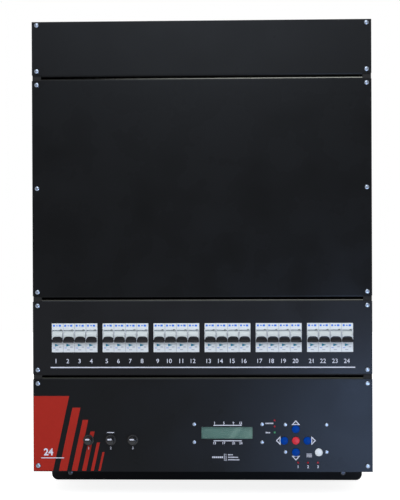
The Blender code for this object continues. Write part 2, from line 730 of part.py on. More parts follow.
def bank_outline():
    """A breaker seen from the side: nose, shoulders, rail hooks and the slot for the comb."""
    nose = NOSE_HEIGHT / 2
    body = BREAKER_HEIGHT / 2
    lip = HAT_WIDTH / 2 + FIT
    mouth = HAT_WEB / 2 + FIT
    face = -PIVOT_DEPTH
    shoulder = face + NOSE_DEPTH
    rail = face + BREAKER_RAIL_DEPTH
    slot = face + COMB_FROM_NOSE
    half_slot = COMB_SHEET / 2 + FIT
    back = rail + BREAKER_HOOK
    outline = [(face, nose), (shoulder, nose), (shoulder, body), (back, body), (back, mouth)]
    outline += [(rail + HAT_SHEET + FIT, mouth), (rail + HAT_SHEET + FIT, lip), (rail - FIT, lip)]
    outline += [(rail - FIT, -lip), (rail + HAT_SHEET + FIT, -lip), (rail + HAT_SHEET + FIT, -mouth)]
    outline += [(back, -mouth), (back, -body), (slot + half_slot, -body)]
    outline += [(slot + half_slot, -body + COMB_TOOTH_INSERTION + FIT)]
    outline += [(slot - half_slot, -body + COMB_TOOTH_INSERTION + FIT), (slot - half_slot, -body)]
    outline += [(shoulder, -body), (shoulder, -nose), (face, -nose)]
    return [(depth, height - PIVOT_ABOVE_CENTRE) for depth, height in outline]


def breaker_banks():
    """Banks of breaker bodies side by side, each bank one solid, on the mounting rail."""
    body = prism(bank_outline(), "x", -BANK_WIDTH / 2, BANK_WIDTH / 2)
    tools = [toggle_pocket(module_offset(number)) for number in range(MODULES_PER_BANK)]
    for number in range(1, MODULES_PER_BANK):
        seam = number * MODULE_WIDTH - BANK_WIDTH / 2
        half = MODULE_GROOVE_WIDTH / 2
        low = (seam - half, -PIVOT_DEPTH - MODULE_GROOVE_DEPTH, -BREAKER_HEIGHT)
        high = (seam + half, -PIVOT_DEPTH + MODULE_GROOVE_DEPTH, BREAKER_HEIGHT)
        tools.append(block(low, high))
    mesh = mesh_of("breaker_bank", cut(body, tools), Vector((0, 0, 0)))
    for number in range(BANKS):
        spot = (bank_centre(number), PIVOT_Y, PIVOT_Z)
        place(f"breaker_bank_{number + 1}", mesh, WHITE_MOULDING, spot)


def breaker_toggles():
    """One toggle for each module, at its off stop, with its origin on the pivot."""
    rest = 180 + LEVER_OFF_ANGLE
    root = math.degrees(math.asin(LEVER_ROOT / 2 / DRUM_RADIUS))
    outline = arc((0.0, 0.0), DRUM_RADIUS, rest + root, rest - root + 360, DRUM_STEPS)
    tip = LEVER_REACH - LEVER_TIP / 2
    tip_centre = (tip * math.cos(math.radians(rest)), tip * math.sin(math.radians(rest)))
    outline += arc(tip_centre, LEVER_TIP / 2, rest - 90, rest + 90, TIP_STEPS)
    body = prism(outline, "x", -TOGGLE_WIDTH / 2, TOGGLE_WIDTH / 2)
    mesh = mesh_of("toggle", body, Vector((0, 0, 0)))
    for number in range(CHANNELS):
        across = bank_centre(number // MODULES_PER_BANK) + module_offset(number % MODULES_PER_BANK)
        place(f"toggle_{number + 1:02d}", mesh, BLACK_MOULDING, (across, PIVOT_Y, PIVOT_Z))


def breaker_rail():
    """Top-hat rail across the case that the breakers hook onto."""
    middle = HAT_SHEET / 2
    lip_y = HAT_FRONT_Y + middle
    back_y = HAT_FRONT_Y + HAT_DEPTH - middle
    half_web = HAT_WEB / 2 - middle
    upper = [(lip_y, HAT_WIDTH / 2), (lip_y, half_web), (back_y, half_web)]
    line = upper + [(y, -z) for y, z in reversed(upper)]
    line = [(y, z + BREAKER_Z) for y, z in line]
    half = INNER_HALF - FIT
    add("breaker_rail", folded_sheet(line, HAT_SHEET, HAT_BEND, "x", -half, half), ZINC_STEEL)


def comb_busbar():
    """Copper comb under the breakers, with one tooth up into each module."""
    shoulder = BREAKER_Z - BREAKER_HEIGHT / 2
    bar_top = shoulder - FIT
    bar_bottom = bar_top - COMB_HEIGHT
    tip = shoulder + COMB_TOOTH_INSERTION
    half = COMB_TOOTH_WIDTH / 2
    outline = []
    for number in range(CHANNELS):
        across = bank_centre(number // MODULES_PER_BANK) + module_offset(number % MODULES_PER_BANK)
        outline += [(across - half, bar_top), (across - half, tip), (across + half, tip)]
        outline.append((across + half, bar_top))
    end = bank_centre(BANKS - 1) + BANK_WIDTH / 2
    outline = [(-end, bar_bottom), (-end, bar_top)] + outline + [(end, bar_top), (end, bar_bottom)]
    middle = NOSE_Y + COMB_FROM_NOSE
    comb = prism(outline, "y", middle - COMB_SHEET / 2, middle + COMB_SHEET / 2)
    add("comb_busbar", comb, COPPER)


KEY_SPOTS = {
    "button_up": (KEY_CENTRE[0], KEY_CENTRE[1] + KEY_PITCH),
    "button_down": (KEY_CENTRE[0], KEY_CENTRE[1] - KEY_PITCH),
    "button_left": (KEY_CENTRE[0] + KEY_PITCH, KEY_CENTRE[1]),
    "button_right": (KEY_CENTRE[0] - KEY_PITCH, KEY_CENTRE[1]),
    "button_enter": KEY_CENTRE,
    "button_menu": KEY_MENU,
}
KEY_PAINTS = {"button_enter": RED_KEY, "button_menu": WHITE_KEY}
LAMP_SPOTS = []
FUSE_SPOTS = []
for lamp in range(LAMPS_IN_LINE):
    LAMP_SPOTS.append((LAMP_COLUMN_TOP[0], LAMP_COLUMN_TOP[1] - lamp * LAMP_COLUMN_PITCH))
    LAMP_SPOTS.append((LAMP_ROW_LEFT[0] - lamp * LAMP_ROW_PITCH, LAMP_ROW_LEFT[1]))
for fuse in range(FUSES):
    FUSE_SPOTS.append((FIRST_FUSE[0] + fuse * FUSE_PITCH - FRONT_WIDTH / 2, FIRST_FUSE[1] + BOTTOM))


def fuse_holder(spot):
    """Ring, threaded tube and nut of one fuse holder, without its bore."""
    ring_y = FRONT_Y - FUSE_RING_THICKNESS
    tube_y = PANEL_BACK_Y + FUSE_TUBE_LENGTH
    ring = FUSE_RING_DIAMETER / 2
    tube = FUSE_TUBE_DIAMETER / 2
    profile = [(0, ring_y), (ring - FUSE_RING_CHAMFER, ring_y), (ring, ring_y + FUSE_RING_CHAMFER)]
    profile += [(ring, FRONT_Y + FIT), (tube, FRONT_Y + FIT), (tube, tube_y), (0, tube_y)]
    body = turned(profile, spot, FUSE_SIDES)
    nut = rod("y", spot, FUSE_NUT_DIAMETER, PANEL_BACK_Y - FIT, PANEL_BACK_Y + FUSE_NUT_THICKNESS, 6)
    return [body, nut]


def control_panel():
    """Lowest panel, with its window, key and lamp holes and the three fuse holders."""
    panel = folded_panel(CONTROL_PANEL_TOP, BOTTOM, True, False)
    tools = screw_holes(CONTROL_PANEL_SCREWS, PANEL_SCREW_HOLE)
    near = FRONT_Y - PANEL_SHEET
    far = PANEL_BACK_Y + PANEL_SHEET
    window = on_control_panel(WINDOW_CENTRE)
    low = (window[0] - WINDOW_SIZE[0] / 2, near, window[1] - WINDOW_SIZE[1] / 2)
    high = (window[0] + WINDOW_SIZE[0] / 2, far, window[1] + WINDOW_SIZE[1] / 2)
    tools.append(block(low, high))
    for spot in KEY_SPOTS.values():
        hole = KEY_DIAMETER + 2 * KEY_CLEARANCE
        tools.append(rod("y", on_control_panel(spot), hole, near, far, KEY_SIDES))
    for spot in LAMP_SPOTS:
        hole = LAMP_DIAMETER + 2 * LAMP_CLEARANCE
        tools.append(rod("y", on_control_panel(spot), hole, near, far, HOLE_SIDES))
    board_screws = four_corners(DISPLAY_CENTRE, DISPLAY_SCREW_SPACING)
    board_screws += four_corners(KEYPAD_CENTRE, KEYPAD_SCREW_SPACING)
    for spot in board_screws:
        tools.append(rod("y", on_control_panel(spot), BOARD_SCREW_HOLE, near, far, HOLE_SIDES))
    panel = cut(panel, tools)
    front = FRONT_Y - FUSE_RING_THICKNESS
    bores = []
    for spot in FUSE_SPOTS:
        panel = fused(panel, fuse_holder(spot))
        bores.append(rod("y", spot, FUSE_BORE_DIAMETER, front - FUSE_RING_THICKNESS,
                         front + FUSE_BORE_DEPTH, FUSE_SIDES))
    add("control_panel", cut(panel, bores), BLACK_PAINT)


def fuse_caps():
    """Slotted bayonet caps, each with its origin on its turning axis."""
    seat = FRONT_Y - FUSE_RING_THICKNESS - FIT
    face = FRONT_Y - FUSE_CAP_PROUD
    inner = FRONT_Y - FUSE_RING_THICKNESS + FUSE_BORE_DEPTH - 2 * FIT
    for number, centre in enumerate(FUSE_SPOTS):
        profile = [(0, face), (FUSE_CAP_FACE / 2 - FUSE_CAP_ROUND, face)]
        profile += [(FUSE_CAP_FACE / 2, face + FUSE_CAP_ROUND), (FUSE_CAP_BASE / 2, seat)]
        profile += [(FUSE_BARREL_DIAMETER / 2, seat), (FUSE_BARREL_DIAMETER / 2, inner), (0, inner)]
        cap = turned(profile, centre, FUSE_SIDES)
        low = (centre[0] - FUSE_CAP_BASE, face - FUSE_SLOT_DEPTH, centre[1] - FUSE_SLOT_WIDTH / 2)
        high = (centre[0] + FUSE_CAP_BASE, face + FUSE_SLOT_DEPTH, centre[1] + FUSE_SLOT_WIDTH / 2)
        cap = cut(cap, [block(low, high)])
        add(f"fuse_cap_{number + 1}", cap, BLACK_MOULDING, (centre[0], seat, centre[1]))


def keys():
    """Keypad buttons, held behind the panel by their flanges."""
    face = FRONT_Y - KEY_PROUD
    flange_front = PANEL_BACK_Y + FIT
    flange_back = flange_front + KEY_FLANGE_THICKNESS
    stem_end = flange_back + KEY_STEM_LENGTH
    radius = KEY_DIAMETER / 2
    for name, spot in KEY_SPOTS.items():
        centre = on_control_panel(spot)
        profile = [(0, face), (radius - 2 * KEY_DOME, face + KEY_DOME)]
        profile += [(radius, face + 3 * KEY_DOME), (radius, flange_front)]
        profile += [(KEY_FLANGE_DIAMETER / 2, flange_front), (KEY_FLANGE_DIAMETER / 2, flange_back)]
        profile += [(KEY_STEM_DIAMETER / 2, flange_back), (KEY_STEM_DIAMETER / 2, stem_end), (0, stem_end)]
        key = turned(profile, centre, KEY_SIDES)
        add(name, key, KEY_PAINTS.get(name, BLUE_KEY), (centre[0], face, centre[1]))


def plate_at(centre, size, near, far):
    """A plate parallel to the front between two depths."""
    low = (centre[0] - size[0] / 2, near, centre[1] - size[1] / 2)
    high = (centre[0] + size[0] / 2, far, centre[1] + size[1] / 2)
    return block(low, high)


def display_module():
    """Character display: glass in its bezel on a board, with spacers to the panel."""
    bezel_front = PANEL_BACK_Y + FIT
    board_front = bezel_front + BEZEL_THICKNESS
    centre = on_control_panel(DISPLAY_CENTRE)
    board = plate_at(centre, DISPLAY_BOARD_SIZE, board_front, board_front + BOARD_SHEET)
    inside = board_front + BOARD_SHEET / 2
    bezel_size = (WINDOW_SIZE[0] + 2 * BEZEL_BORDER, WINDOW_SIZE[1] + 2 * BEZEL_BORDER)
    pieces = [plate_at(on_control_panel(WINDOW_CENTRE), bezel_size, bezel_front, inside)]
    for spot in four_corners(centre, DISPLAY_SCREW_SPACING):
        pieces.append(rod("y", spot, SPACER_DIAMETER, bezel_front, inside, HOLE_SIDES))
    add("display_module", fused(board, pieces), DISPLAY_GLASS)


def keypad_board():
    """Board with a switch behind each button, the lamps, its spacers and the ribbon's header."""
    inside = KEYPAD_BOARD_FRONT_Y + BOARD_SHEET / 2
    back = KEYPAD_BOARD_FRONT_Y + BOARD_SHEET
    board = plate_at(on_control_panel(KEYPAD_BOARD_CENTRE), KEYPAD_BOARD_SIZE, KEYPAD_BOARD_FRONT_Y, back)
    stem_end = PANEL_BACK_Y + FIT + KEY_FLANGE_THICKNESS + KEY_STEM_LENGTH
    switch_front = stem_end + KEY_TRAVEL + FIT
    lamp_front = FRONT_Y - LAMP_PROUD
    pieces = [plate_at(on_control_panel(RIBBON_CENTRE), HEADER_SIZE, inside, back + HEADER_DEPTH)]
    for spot in KEY_SPOTS.values():
        pieces.append(plate_at(on_control_panel(spot), (SWITCH_SIZE, SWITCH_SIZE), switch_front, inside))
    for spot in LAMP_SPOTS:
        pieces.append(rod("y", on_control_panel(spot), LAMP_DIAMETER, lamp_front, inside, HOLE_SIDES))
    for spot in four_corners(on_control_panel(KEYPAD_CENTRE), KEYPAD_SCREW_SPACING):
        pieces.append(rod("y", spot, SPACER_DIAMETER, PANEL_BACK_Y + FIT, inside, HOLE_SIDES))
    add("keypad_board", fused(board, [merged(pieces)]), GREEN_BOARD)


def choke_tray():
    """Folded tray that carries the interference chokes in rows."""
    middle = CHOKE_TRAY_SHEET / 2
    front_y = INNER_BACK_Y - CHOKE_TRAY_STANDOFF
    right = [(CHOKE_TRAY_HALF, front_y + middle), (CHOKE_TRAY_HALF, INNER_BACK_Y)]
    line = [(-x, y) for x, y in reversed(right)] + right
    shelf = folded_sheet(line, CHOKE_TRAY_SHEET, PANEL_BEND, "z", CHOKE_TRAY_BOTTOM, CHOKE_TRAY_TOP)
    chokes = []
    bores = []
    for row in range(CHOKE_ROWS):
        height = CHOKE_TRAY_TOP - (row + 0.5) * CHOKE_PITCH_Z
        for column in range(CHOKE_COLUMNS):
            spot = ((column - (CHOKE_COLUMNS - 1) / 2) * CHOKE_PITCH_X, height)
            near = front_y - CHOKE_THICKNESS
            chokes.append(rod("y", spot, CHOKE_DIAMETER, near, front_y + middle, CHOKE_SIDES))
            bores.append(rod("y", spot, CHOKE_BORE, near - middle, front_y + CHOKE_TRAY_SHEET,
                             CHOKE_BORE_SIDES))
    cores = cut(merged(chokes), bores)
    add("choke_tray", fused(shelf, [cores]), CHOKE_GREY)


def heatsink():
    """Finned heatsink on the back plate, its flat side to the front."""
    half = HEATSINK_HALF
    base_y = HEATSINK_FRONT_Y + HEATSINK_BASE
    fins = int((2 * half - HEATSINK_FIN) / HEATSINK_FIN_PITCH) + 1
    outline = [(-half, HEATSINK_FRONT_Y), (half, HEATSINK_FRONT_Y), (half, base_y)]
    for fin in reversed(range(fins)):
        centre = (fin - (fins - 1) / 2) * HEATSINK_FIN_PITCH
        outline += [(centre + HEATSINK_FIN / 2, base_y), (centre + HEATSINK_FIN / 2, INNER_BACK_Y)]
        outline += [(centre - HEATSINK_FIN / 2, INNER_BACK_Y), (centre - HEATSINK_FIN / 2, base_y)]
    outline.append((-half, base_y))
    add("heatsink", prism(outline, "z", HEATSINK_BOTTOM, HEATSINK_TOP), BARE_ALUMINIUM)


def power_board():
    """Board in front of the heatsink with one twin switching module for each pair of channels."""
    module_back = HEATSINK_FRONT_Y - FIT
    board_back = module_back - POWER_MODULE_HEIGHT
    centre = (0.0, (HEATSINK_TOP + HEATSINK_BOTTOM) / 2)
    width = 2 * (HEATSINK_HALF - POWER_BOARD_INSET)
    board = plate_at(centre, (width, POWER_BOARD_HEIGHT), board_back - BOARD_SHEET, board_back)
    count = int(width / POWER_MODULE_PITCH)
    modules = []
    for number in range(count):
        across = (number - (count - 1) / 2) * POWER_MODULE_PITCH
        spot = (across, centre[1])
        modules.append(plate_at(spot, POWER_MODULE_SIZE, board_back - BOARD_SHEET / 2, module_back))
    add("power_board", fused(board, [merged(modules)]), GREEN_BOARD)


def barrier_block(left, pitch, ways, height, depth, floor):
    """Terminal block on the back plate: a floor with a rib between each two ways."""
    front = INNER_BACK_Y - depth
    floor_y = INNER_BACK_Y - floor
    half_wall = TERMINAL_WALL / 2
    outline = [(left - half_wall, INNER_BACK_Y)]
    for way in range(ways + 1):
        rib = left + way * pitch
        if way:
            outline.append((rib - half_wall, floor_y))
        outline += [(rib - half_wall, front), (rib + half_wall, front)]
        if way < ways:
            outline.append((rib + half_wall, floor_y))
    outline.append((left + ways * pitch + half_wall, INNER_BACK_Y))
    return prism(outline, "z", TERMINALS_Z - height / 2, TERMINALS_Z + height / 2)


def wiring_terminals():
    """Outgoing terminals of the channels and the larger block for the supply."""
    strip_left = INNER_HALF - TERMINAL_STRIP_SIDE_CLEARANCE - CHANNELS * TERMINAL_PITCH
    strip = barrier_block(strip_left, TERMINAL_PITCH, CHANNELS, TERMINAL_HEIGHT, TERMINAL_DEPTH,
                          TERMINAL_FLOOR)
    add("terminal_strip", strip, BLACK_MOULDING)
    supply_left = -INNER_HALF + SUPPLY_BLOCK_SIDE_CLEARANCE
    supply = barrier_block(supply_left, SUPPLY_PITCH, SUPPLY_WAYS, SUPPLY_HEIGHT, SUPPLY_DEPTH,
                           SUPPLY_FLOOR)
    add("supply_block", supply, BLACK_MOULDING)


def control_board():
    """Processor board on standoffs on the back plate, with the ribbon's header."""
    centre = on_control_panel(CONTROL_BOARD_CENTRE)
    front = CONTROL_BOARD_BACK_Y - BOARD_SHEET
    inside = CONTROL_BOARD_BACK_Y - BOARD_SHEET / 2
    board = plate_at(centre, CONTROL_BOARD_SIZE, front, CONTROL_BOARD_BACK_Y)
    spacing = (CONTROL_BOARD_SIZE[0] - 2 * SPACER_DIAMETER, CONTROL_BOARD_SIZE[1] - 2 * SPACER_DIAMETER)
    pieces = [plate_at(on_control_panel(RIBBON_CENTRE), HEADER_SIZE, front - HEADER_DEPTH, inside)]
    for spot in four_corners(centre, spacing):
        pieces.append(rod("y", spot, SPACER_DIAMETER, inside, INNER_BACK_Y, HOLE_SIDES))
    add("control_board", fused(board, pieces), GREEN_BOARD)


def ribbon_cable():
    """Flat cable from header to header, with a slack run between two straight ends."""
    centre = on_control_panel(RIBBON_CENTRE)
    level = centre[1]
    slack = level - RIBBON_SAG
    near = KEYPAD_BOARD_FRONT_Y + BOARD_SHEET + HEADER_DEPTH + FIT
    far = CONTROL_BOARD_BACK_Y - BOARD_SHEET - HEADER_DEPTH - FIT
    line = [(near, level), (near + RIBBON_LEAD, level), (near + RIBBON_LEAD + RIBBON_SLOPE, slack)]
    line += [(far - RIBBON_LEAD - RIBBON_SLOPE, slack), (far - RIBBON_LEAD, level), (far, level)]
    half = RIBBON_WIDTH / 2
    ribbon = folded_sheet(line, RIBBON_THICKNESS, RIBBON_BEND, "x", centre[0] - half, centre[0] + half)
    add("ribbon_cable", ribbon, GREY_RIBBON)


def transformer():
    """Small laminated transformer on the bottom plate."""
    across = TRANSFORMER_FROM_LEFT - FRONT_WIDTH / 2

    def standing(size, floor):
        low = (across - size[0] / 2, -TRANSFORMER_FROM_WALL - size[1] / 2, floor)
        high = (across + size[0] / 2, -TRANSFORMER_FROM_WALL + size[1] / 2, floor + size[2])
        return block(low, high)

    foot = standing(TRANSFORMER_FOOT, FLOOR_Z)
    core_floor = FLOOR_Z + TRANSFORMER_FOOT[2] / 2
    coil_floor = core_floor + (TRANSFORMER_CORE[2] - TRANSFORMER_COIL[2]) / 2
    whole = fused(foot, [standing(TRANSFORMER_CORE, core_floor), standing(TRANSFORMER_COIL, coil_floor)])
    add("transformer", whole, CORE_STEEL)


def fan_frame():
    """Square fan frame with its motor seat on four struts."""
    half = FAN_SIZE / 2
    outline = []
    for quarter, (way_x, way_y) in enumerate(((1, 1), (-1, 1), (-1, -1), (1, -1))):
        corner = (way_x * (half - FAN_CORNER), FAN_Y + way_y * (half - FAN_CORNER))
        outline += arc(corner, FAN_CORNER, quarter * 90, quarter * 90 + 90, FAN_CORNER_STEPS)
    frame = prism(outline, "z", FLOOR_Z, FLOOR_Z + FAN_HEIGHT)
    bore = rod("z", (0.0, FAN_Y), FAN_BORE, FLOOR_Z - FIT, FLOOR_Z + FAN_HEIGHT + FIT, FAN_SIDES)
    frame = cut(frame, [bore])
    seat_top = FLOOR_Z + FAN_MOTOR_THICKNESS
    seat = rod("z", (0.0, FAN_Y), FAN_MOTOR_DIAMETER, FLOOR_Z, seat_top, FAN_SIDES)
    reach = FAN_BORE / 2 + PANEL_SHEET
    strut_x = block((-reach, FAN_Y - FAN_STRUT_WIDTH / 2, FLOOR_Z + FIT),
                    (reach, FAN_Y + FAN_STRUT_WIDTH / 2, seat_top - FIT))
    strut_y = block((-FAN_STRUT_WIDTH / 2, FAN_Y - reach, FLOOR_Z + FIT),
                    (FAN_STRUT_WIDTH / 2, FAN_Y + reach, seat_top - FIT))
    add("fan_frame", fused(frame, [strut_x, strut_y, seat]), BLACK_MOULDING)


def fan_blade(angle, low, high):
    """One twisted blade, lofted from the hub to the tip."""
    blade = bmesh.new()
    root = FAN_HUB_DIAMETER / 2 - FAN_BLADE_SHEET
    tip = FAN_BORE / 2 - FAN_BLADE_CLEARANCE
    middle = (low + high) / 2
    rings = []
    for station in range(FAN_BLADE_STATIONS):
        share = station / (FAN_BLADE_STATIONS - 1)
        radius = root + (tip - root) * share
        pitch = math.radians(FAN_ROOT_PITCH + (FAN_TIP_PITCH - FAN_ROOT_PITCH) * share)
        half_chord = (high - low) / 2 / math.sin(pitch) - FAN_BLADE_SHEET
        ring = []
        for along, across in ((-1, -1), (1, -1), (1, 1), (-1, 1)):
            sideways = along * half_chord * math.cos(pitch) - across * FAN_BLADE_SHEET / 2 * math.sin(pitch)
            rise = along * half_chord * math.sin(pitch) + across * FAN_BLADE_SHEET / 2 * math.cos(pitch)
            swing = angle + sideways / radius
            spot = (radius * math.cos(swing), FAN_Y + radius * math.sin(swing), middle + rise)
            ring.append(blade.verts.new(spot))
        rings.append(ring)
    blade.faces.new(rings[0])
    blade.faces.new(rings[-1])
    for inner, outer in zip(rings, rings[1:]):
        for side in range(4):
            following = (side + 1) % 4
            blade.faces.new((inner[side], inner[following], outer[following], outer[side]))
    bmesh.ops.recalc_face_normals(blade, faces=blade.faces)
    return blade


def fan_rotor():
    """Hub and blades of the fan, with the origin on the shaft."""
    low = FLOOR_Z + FAN_MOTOR_THICKNESS + FIT
    high = FLOOR_Z + FAN_HEIGHT - 2 * FIT
    hub = rod("z", (0.0, FAN_Y), FAN_HUB_DIAMETER, low, high, FAN_SIDES)
    blades = [fan_blade(math.tau * number / FAN_BLADES, low, high) for number in range(FAN_BLADES)]
    add("fan_rotor", fused(hub, blades), BLACK_MOULDING, (0.0, FAN_Y, low))


case_shell()
top_plate()
bottom_plate()
plain_covers()
breaker_panel()
control_panel()
breaker_banks()
breaker_toggles()
breaker_rail()
comb_busbar()
keys()
fuse_caps()
heatsink()
power_board()
choke_tray()
wiring_terminals()
control_board()
ribbon_cable()
display_module()
keypad_board()
transformer()
fan_frame()
fan_rotor()
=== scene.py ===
"""Looks of the wall-mounted lighting dimmer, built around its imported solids.

Metres, +Z up. The front faces -Y and the back plate lies on the wall plane Y = 0.
"""

import json
import math
import random

import bmesh
import bpy
from mathutils import Matrix, Vector


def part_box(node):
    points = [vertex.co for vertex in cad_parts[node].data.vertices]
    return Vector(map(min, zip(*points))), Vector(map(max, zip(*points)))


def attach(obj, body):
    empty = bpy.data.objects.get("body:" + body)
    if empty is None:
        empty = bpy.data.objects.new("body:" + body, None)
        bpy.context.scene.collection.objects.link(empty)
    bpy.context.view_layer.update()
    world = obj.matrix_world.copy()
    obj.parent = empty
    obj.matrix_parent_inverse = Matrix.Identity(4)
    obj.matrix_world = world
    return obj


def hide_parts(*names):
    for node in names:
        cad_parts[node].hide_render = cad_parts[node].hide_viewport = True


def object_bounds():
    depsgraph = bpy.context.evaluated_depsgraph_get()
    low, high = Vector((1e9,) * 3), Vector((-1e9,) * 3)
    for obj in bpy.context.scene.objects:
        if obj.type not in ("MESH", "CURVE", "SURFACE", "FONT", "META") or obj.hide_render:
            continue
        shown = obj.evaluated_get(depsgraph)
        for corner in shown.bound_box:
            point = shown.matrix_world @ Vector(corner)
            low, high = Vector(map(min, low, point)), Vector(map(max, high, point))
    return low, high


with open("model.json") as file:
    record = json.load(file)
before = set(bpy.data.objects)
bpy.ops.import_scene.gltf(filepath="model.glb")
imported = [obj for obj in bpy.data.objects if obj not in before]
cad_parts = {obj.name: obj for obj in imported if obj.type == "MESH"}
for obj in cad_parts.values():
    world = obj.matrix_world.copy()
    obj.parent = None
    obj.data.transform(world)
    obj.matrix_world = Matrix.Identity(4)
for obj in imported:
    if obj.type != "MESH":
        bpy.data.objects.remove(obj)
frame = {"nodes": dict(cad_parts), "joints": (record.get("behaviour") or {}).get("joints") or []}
solid_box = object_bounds()
nodes = frame["nodes"]
joints = {joint["name"]: joint for joint in frame["joints"]}
random.seed(24)

# The view: a long lens level with the dimmer's middle, a hand's width right of it and turned back
# towards it. The picture is 400 by 500, so the lens is worked out on the tall side.
PICTURE_TALL = 500
FOCAL_PIXELS = 1407.0
EYE = (0.0749, -2.3633, 0.0021)
PITCH, ROLL, YAW = -0.208, 0.230, 2.038
camera_data = bpy.data.cameras.new("camera")
camera_data.lens = FOCAL_PIXELS / PICTURE_TALL * camera_data.sensor_width
camera = bpy.data.objects.new("camera", camera_data)
camera.location = EYE
camera.rotation_euler = (math.radians(90 + PITCH), math.radians(ROLL), math.radians(YAW))
bpy.context.scene.collection.objects.link(camera)
bpy.context.scene.camera = camera
bpy.context.scene.view_settings.view_transform = "Standard"


# The room: a white studio with a wide soft lamp above the camera, a smaller one above the dimmer
# and a pale floor under the wall flange. The world and the floor look white, and neither adds
# light for that.
def linear(colour):
    """The linear red, green, blue and alpha of an sRGB colour written as six hex digits."""
    channels = []
    for start in (0, 2, 4):
        value = int(colour[start:start + 2], 16) / 255
        channels.append(value / 12.92 if value <= 0.04045 else ((value + 0.055) / 1.055) ** 2.4)
    return (*channels, 1.0)


def add_node(tree, kind, sockets=None, **settings):
    """A shader node with its settings, and its sockets set to values or joined to outputs."""
    made = tree.nodes.new(kind)
    for name, value in settings.items():
        setattr(made, name, value)
    for name, value in (sockets or {}).items():
        if isinstance(value, bpy.types.NodeSocket):
            tree.links.new(value, made.inputs[name])
        else:
            made.inputs[name].default_value = value
    return made


def seen_directly(tree):
    """One where a ray comes from the camera, a glossy surface or glass, and nothing elsewhere."""
    path = add_node(tree, "ShaderNodeLightPath")
    either = add_node(tree, "ShaderNodeMath", {0: path.outputs["Is Camera Ray"],
                                               1: path.outputs["Is Glossy Ray"]}, operation="MAXIMUM")
    seen = add_node(tree, "ShaderNodeMath", {0: either.outputs[0],
                                             1: path.outputs["Is Transmission Ray"]}, operation="MAXIMUM")
    return seen.outputs[0]


ROOM_LIGHT = 0.47
world = bpy.data.worlds.new("studio")
bpy.context.scene.world = world
world.use_nodes = True
tree = world.node_tree
tree.nodes.clear()
room = add_node(tree, "ShaderNodeBackground", {"Color": linear("f5f5f5"), "Strength": ROOM_LIGHT})
white = add_node(tree, "ShaderNodeBackground", {"Color": (1, 1, 1, 1), "Strength": 1.0})
shown = add_node(tree, "ShaderNodeMixShader", {0: seen_directly(tree), 1: room.outputs[0],
                                               2: white.outputs[0]})
add_node(tree, "ShaderNodeOutputWorld", {"Surface": shown.outputs[0]})

FLOOR_SPAN = 8.0
FLOOR_GLOW = 0.86
floor_mesh = bpy.data.meshes.new("floor")
ground = bmesh.new()
bmesh.ops.create_grid(ground, x_segments=1, y_segments=1, size=FLOOR_SPAN / 2)
bmesh.ops.translate(ground, verts=ground.verts, vec=(0, 0, solid_box[0].z))
ground.to_mesh(floor_mesh)
ground.free()
floor_paint = bpy.data.materials.new("pale_floor")
floor_paint.use_nodes = True
tree = floor_paint.node_tree
tree.nodes.clear()
matt = add_node(tree, "ShaderNodeBsdfDiffuse", {"Color": linear("f4f4f4")})
glow = add_node(tree, "ShaderNodeEmission", {"Color": (1, 1, 1, 1), "Strength": FLOOR_GLOW})
both = add_node(tree, "ShaderNodeAddShader", {0: matt.outputs[0], 1: glow.outputs[0]})
direct = add_node(tree, "ShaderNodeMixShader", {0: seen_directly(tree), 1: matt.outputs[0],
                                                2: both.outputs[0]})
side = add_node(tree, "ShaderNodeNewGeometry")
through = add_node(tree, "ShaderNodeBsdfTransparent")
one_sided = add_node(tree, "ShaderNodeMixShader", {0: side.outputs["Backfacing"], 1: direct.outputs[0],
                                                   2: through.outputs[0]})
add_node(tree, "ShaderNodeOutputMaterial", {"Surface": one_sided.outputs[0]})
floor_mesh.materials.append(floor_paint)
floor = bpy.data.objects.new("floor", floor_mesh)
bpy.context.scene.collection.objects.link(floor)

# The reflector card, low at the right, only gives the lowest panel its bluish gloss: it lights no
# matt surface. The floor takes the dimmer's shadow and throws none of its own on the card's light.
floor.visible_shadow = False
# Place, span, watts and colour of each lamp.
LAMPS = {
    "reflector_card": ((0.365, -1.20, -0.475), 0.34, 12.4, "b0ccfb"),
    "high_lamp": ((-0.05, -2.60, 1.25), 1.5, 34.0, "eff5ff"),
    "top_lamp": ((-0.10, -1.25, 1.60), 0.9, 14.0, "fffdf6"),
}
for name, (spot, span, watts, colour) in LAMPS.items():
    lamp_data = bpy.data.lights.new(name, "AREA")
    lamp_data.shape = "DISK"
    lamp_data.size = span
    lamp_data.energy = watts
    lamp_data.color = linear(colour)[:3]
    lamp = bpy.data.objects.new(name, lamp_data)
    lamp.location = spot
    lamp.rotation_euler = (-Vector(spot)).to_track_quat("-Z", "Y").to_euler()
    lamp.visible_diffuse = name != "reflector_card"
    bpy.context.scene.collection.objects.link(lamp)


# The case: back, sides and end plates folded from steel sheet, and four front panels of thicker
# sheet. All are powder-coated black: a dense, matt skin with a fine grain and a faint bloom.
def new_finish(name, values):
    """A material with values of its shader set, and its nodes, shader and object coordinates."""
    paint = bpy.data.materials.new(name)
    paint.use_nodes = True
    tree = paint.node_tree
    shader = tree.nodes["Principled BSDF"]
    for socket, value in values.items():
        shader.inputs[socket].default_value = value
    return paint, tree, shader, add_node(tree, "ShaderNodeTexCoord").outputs["Object"]


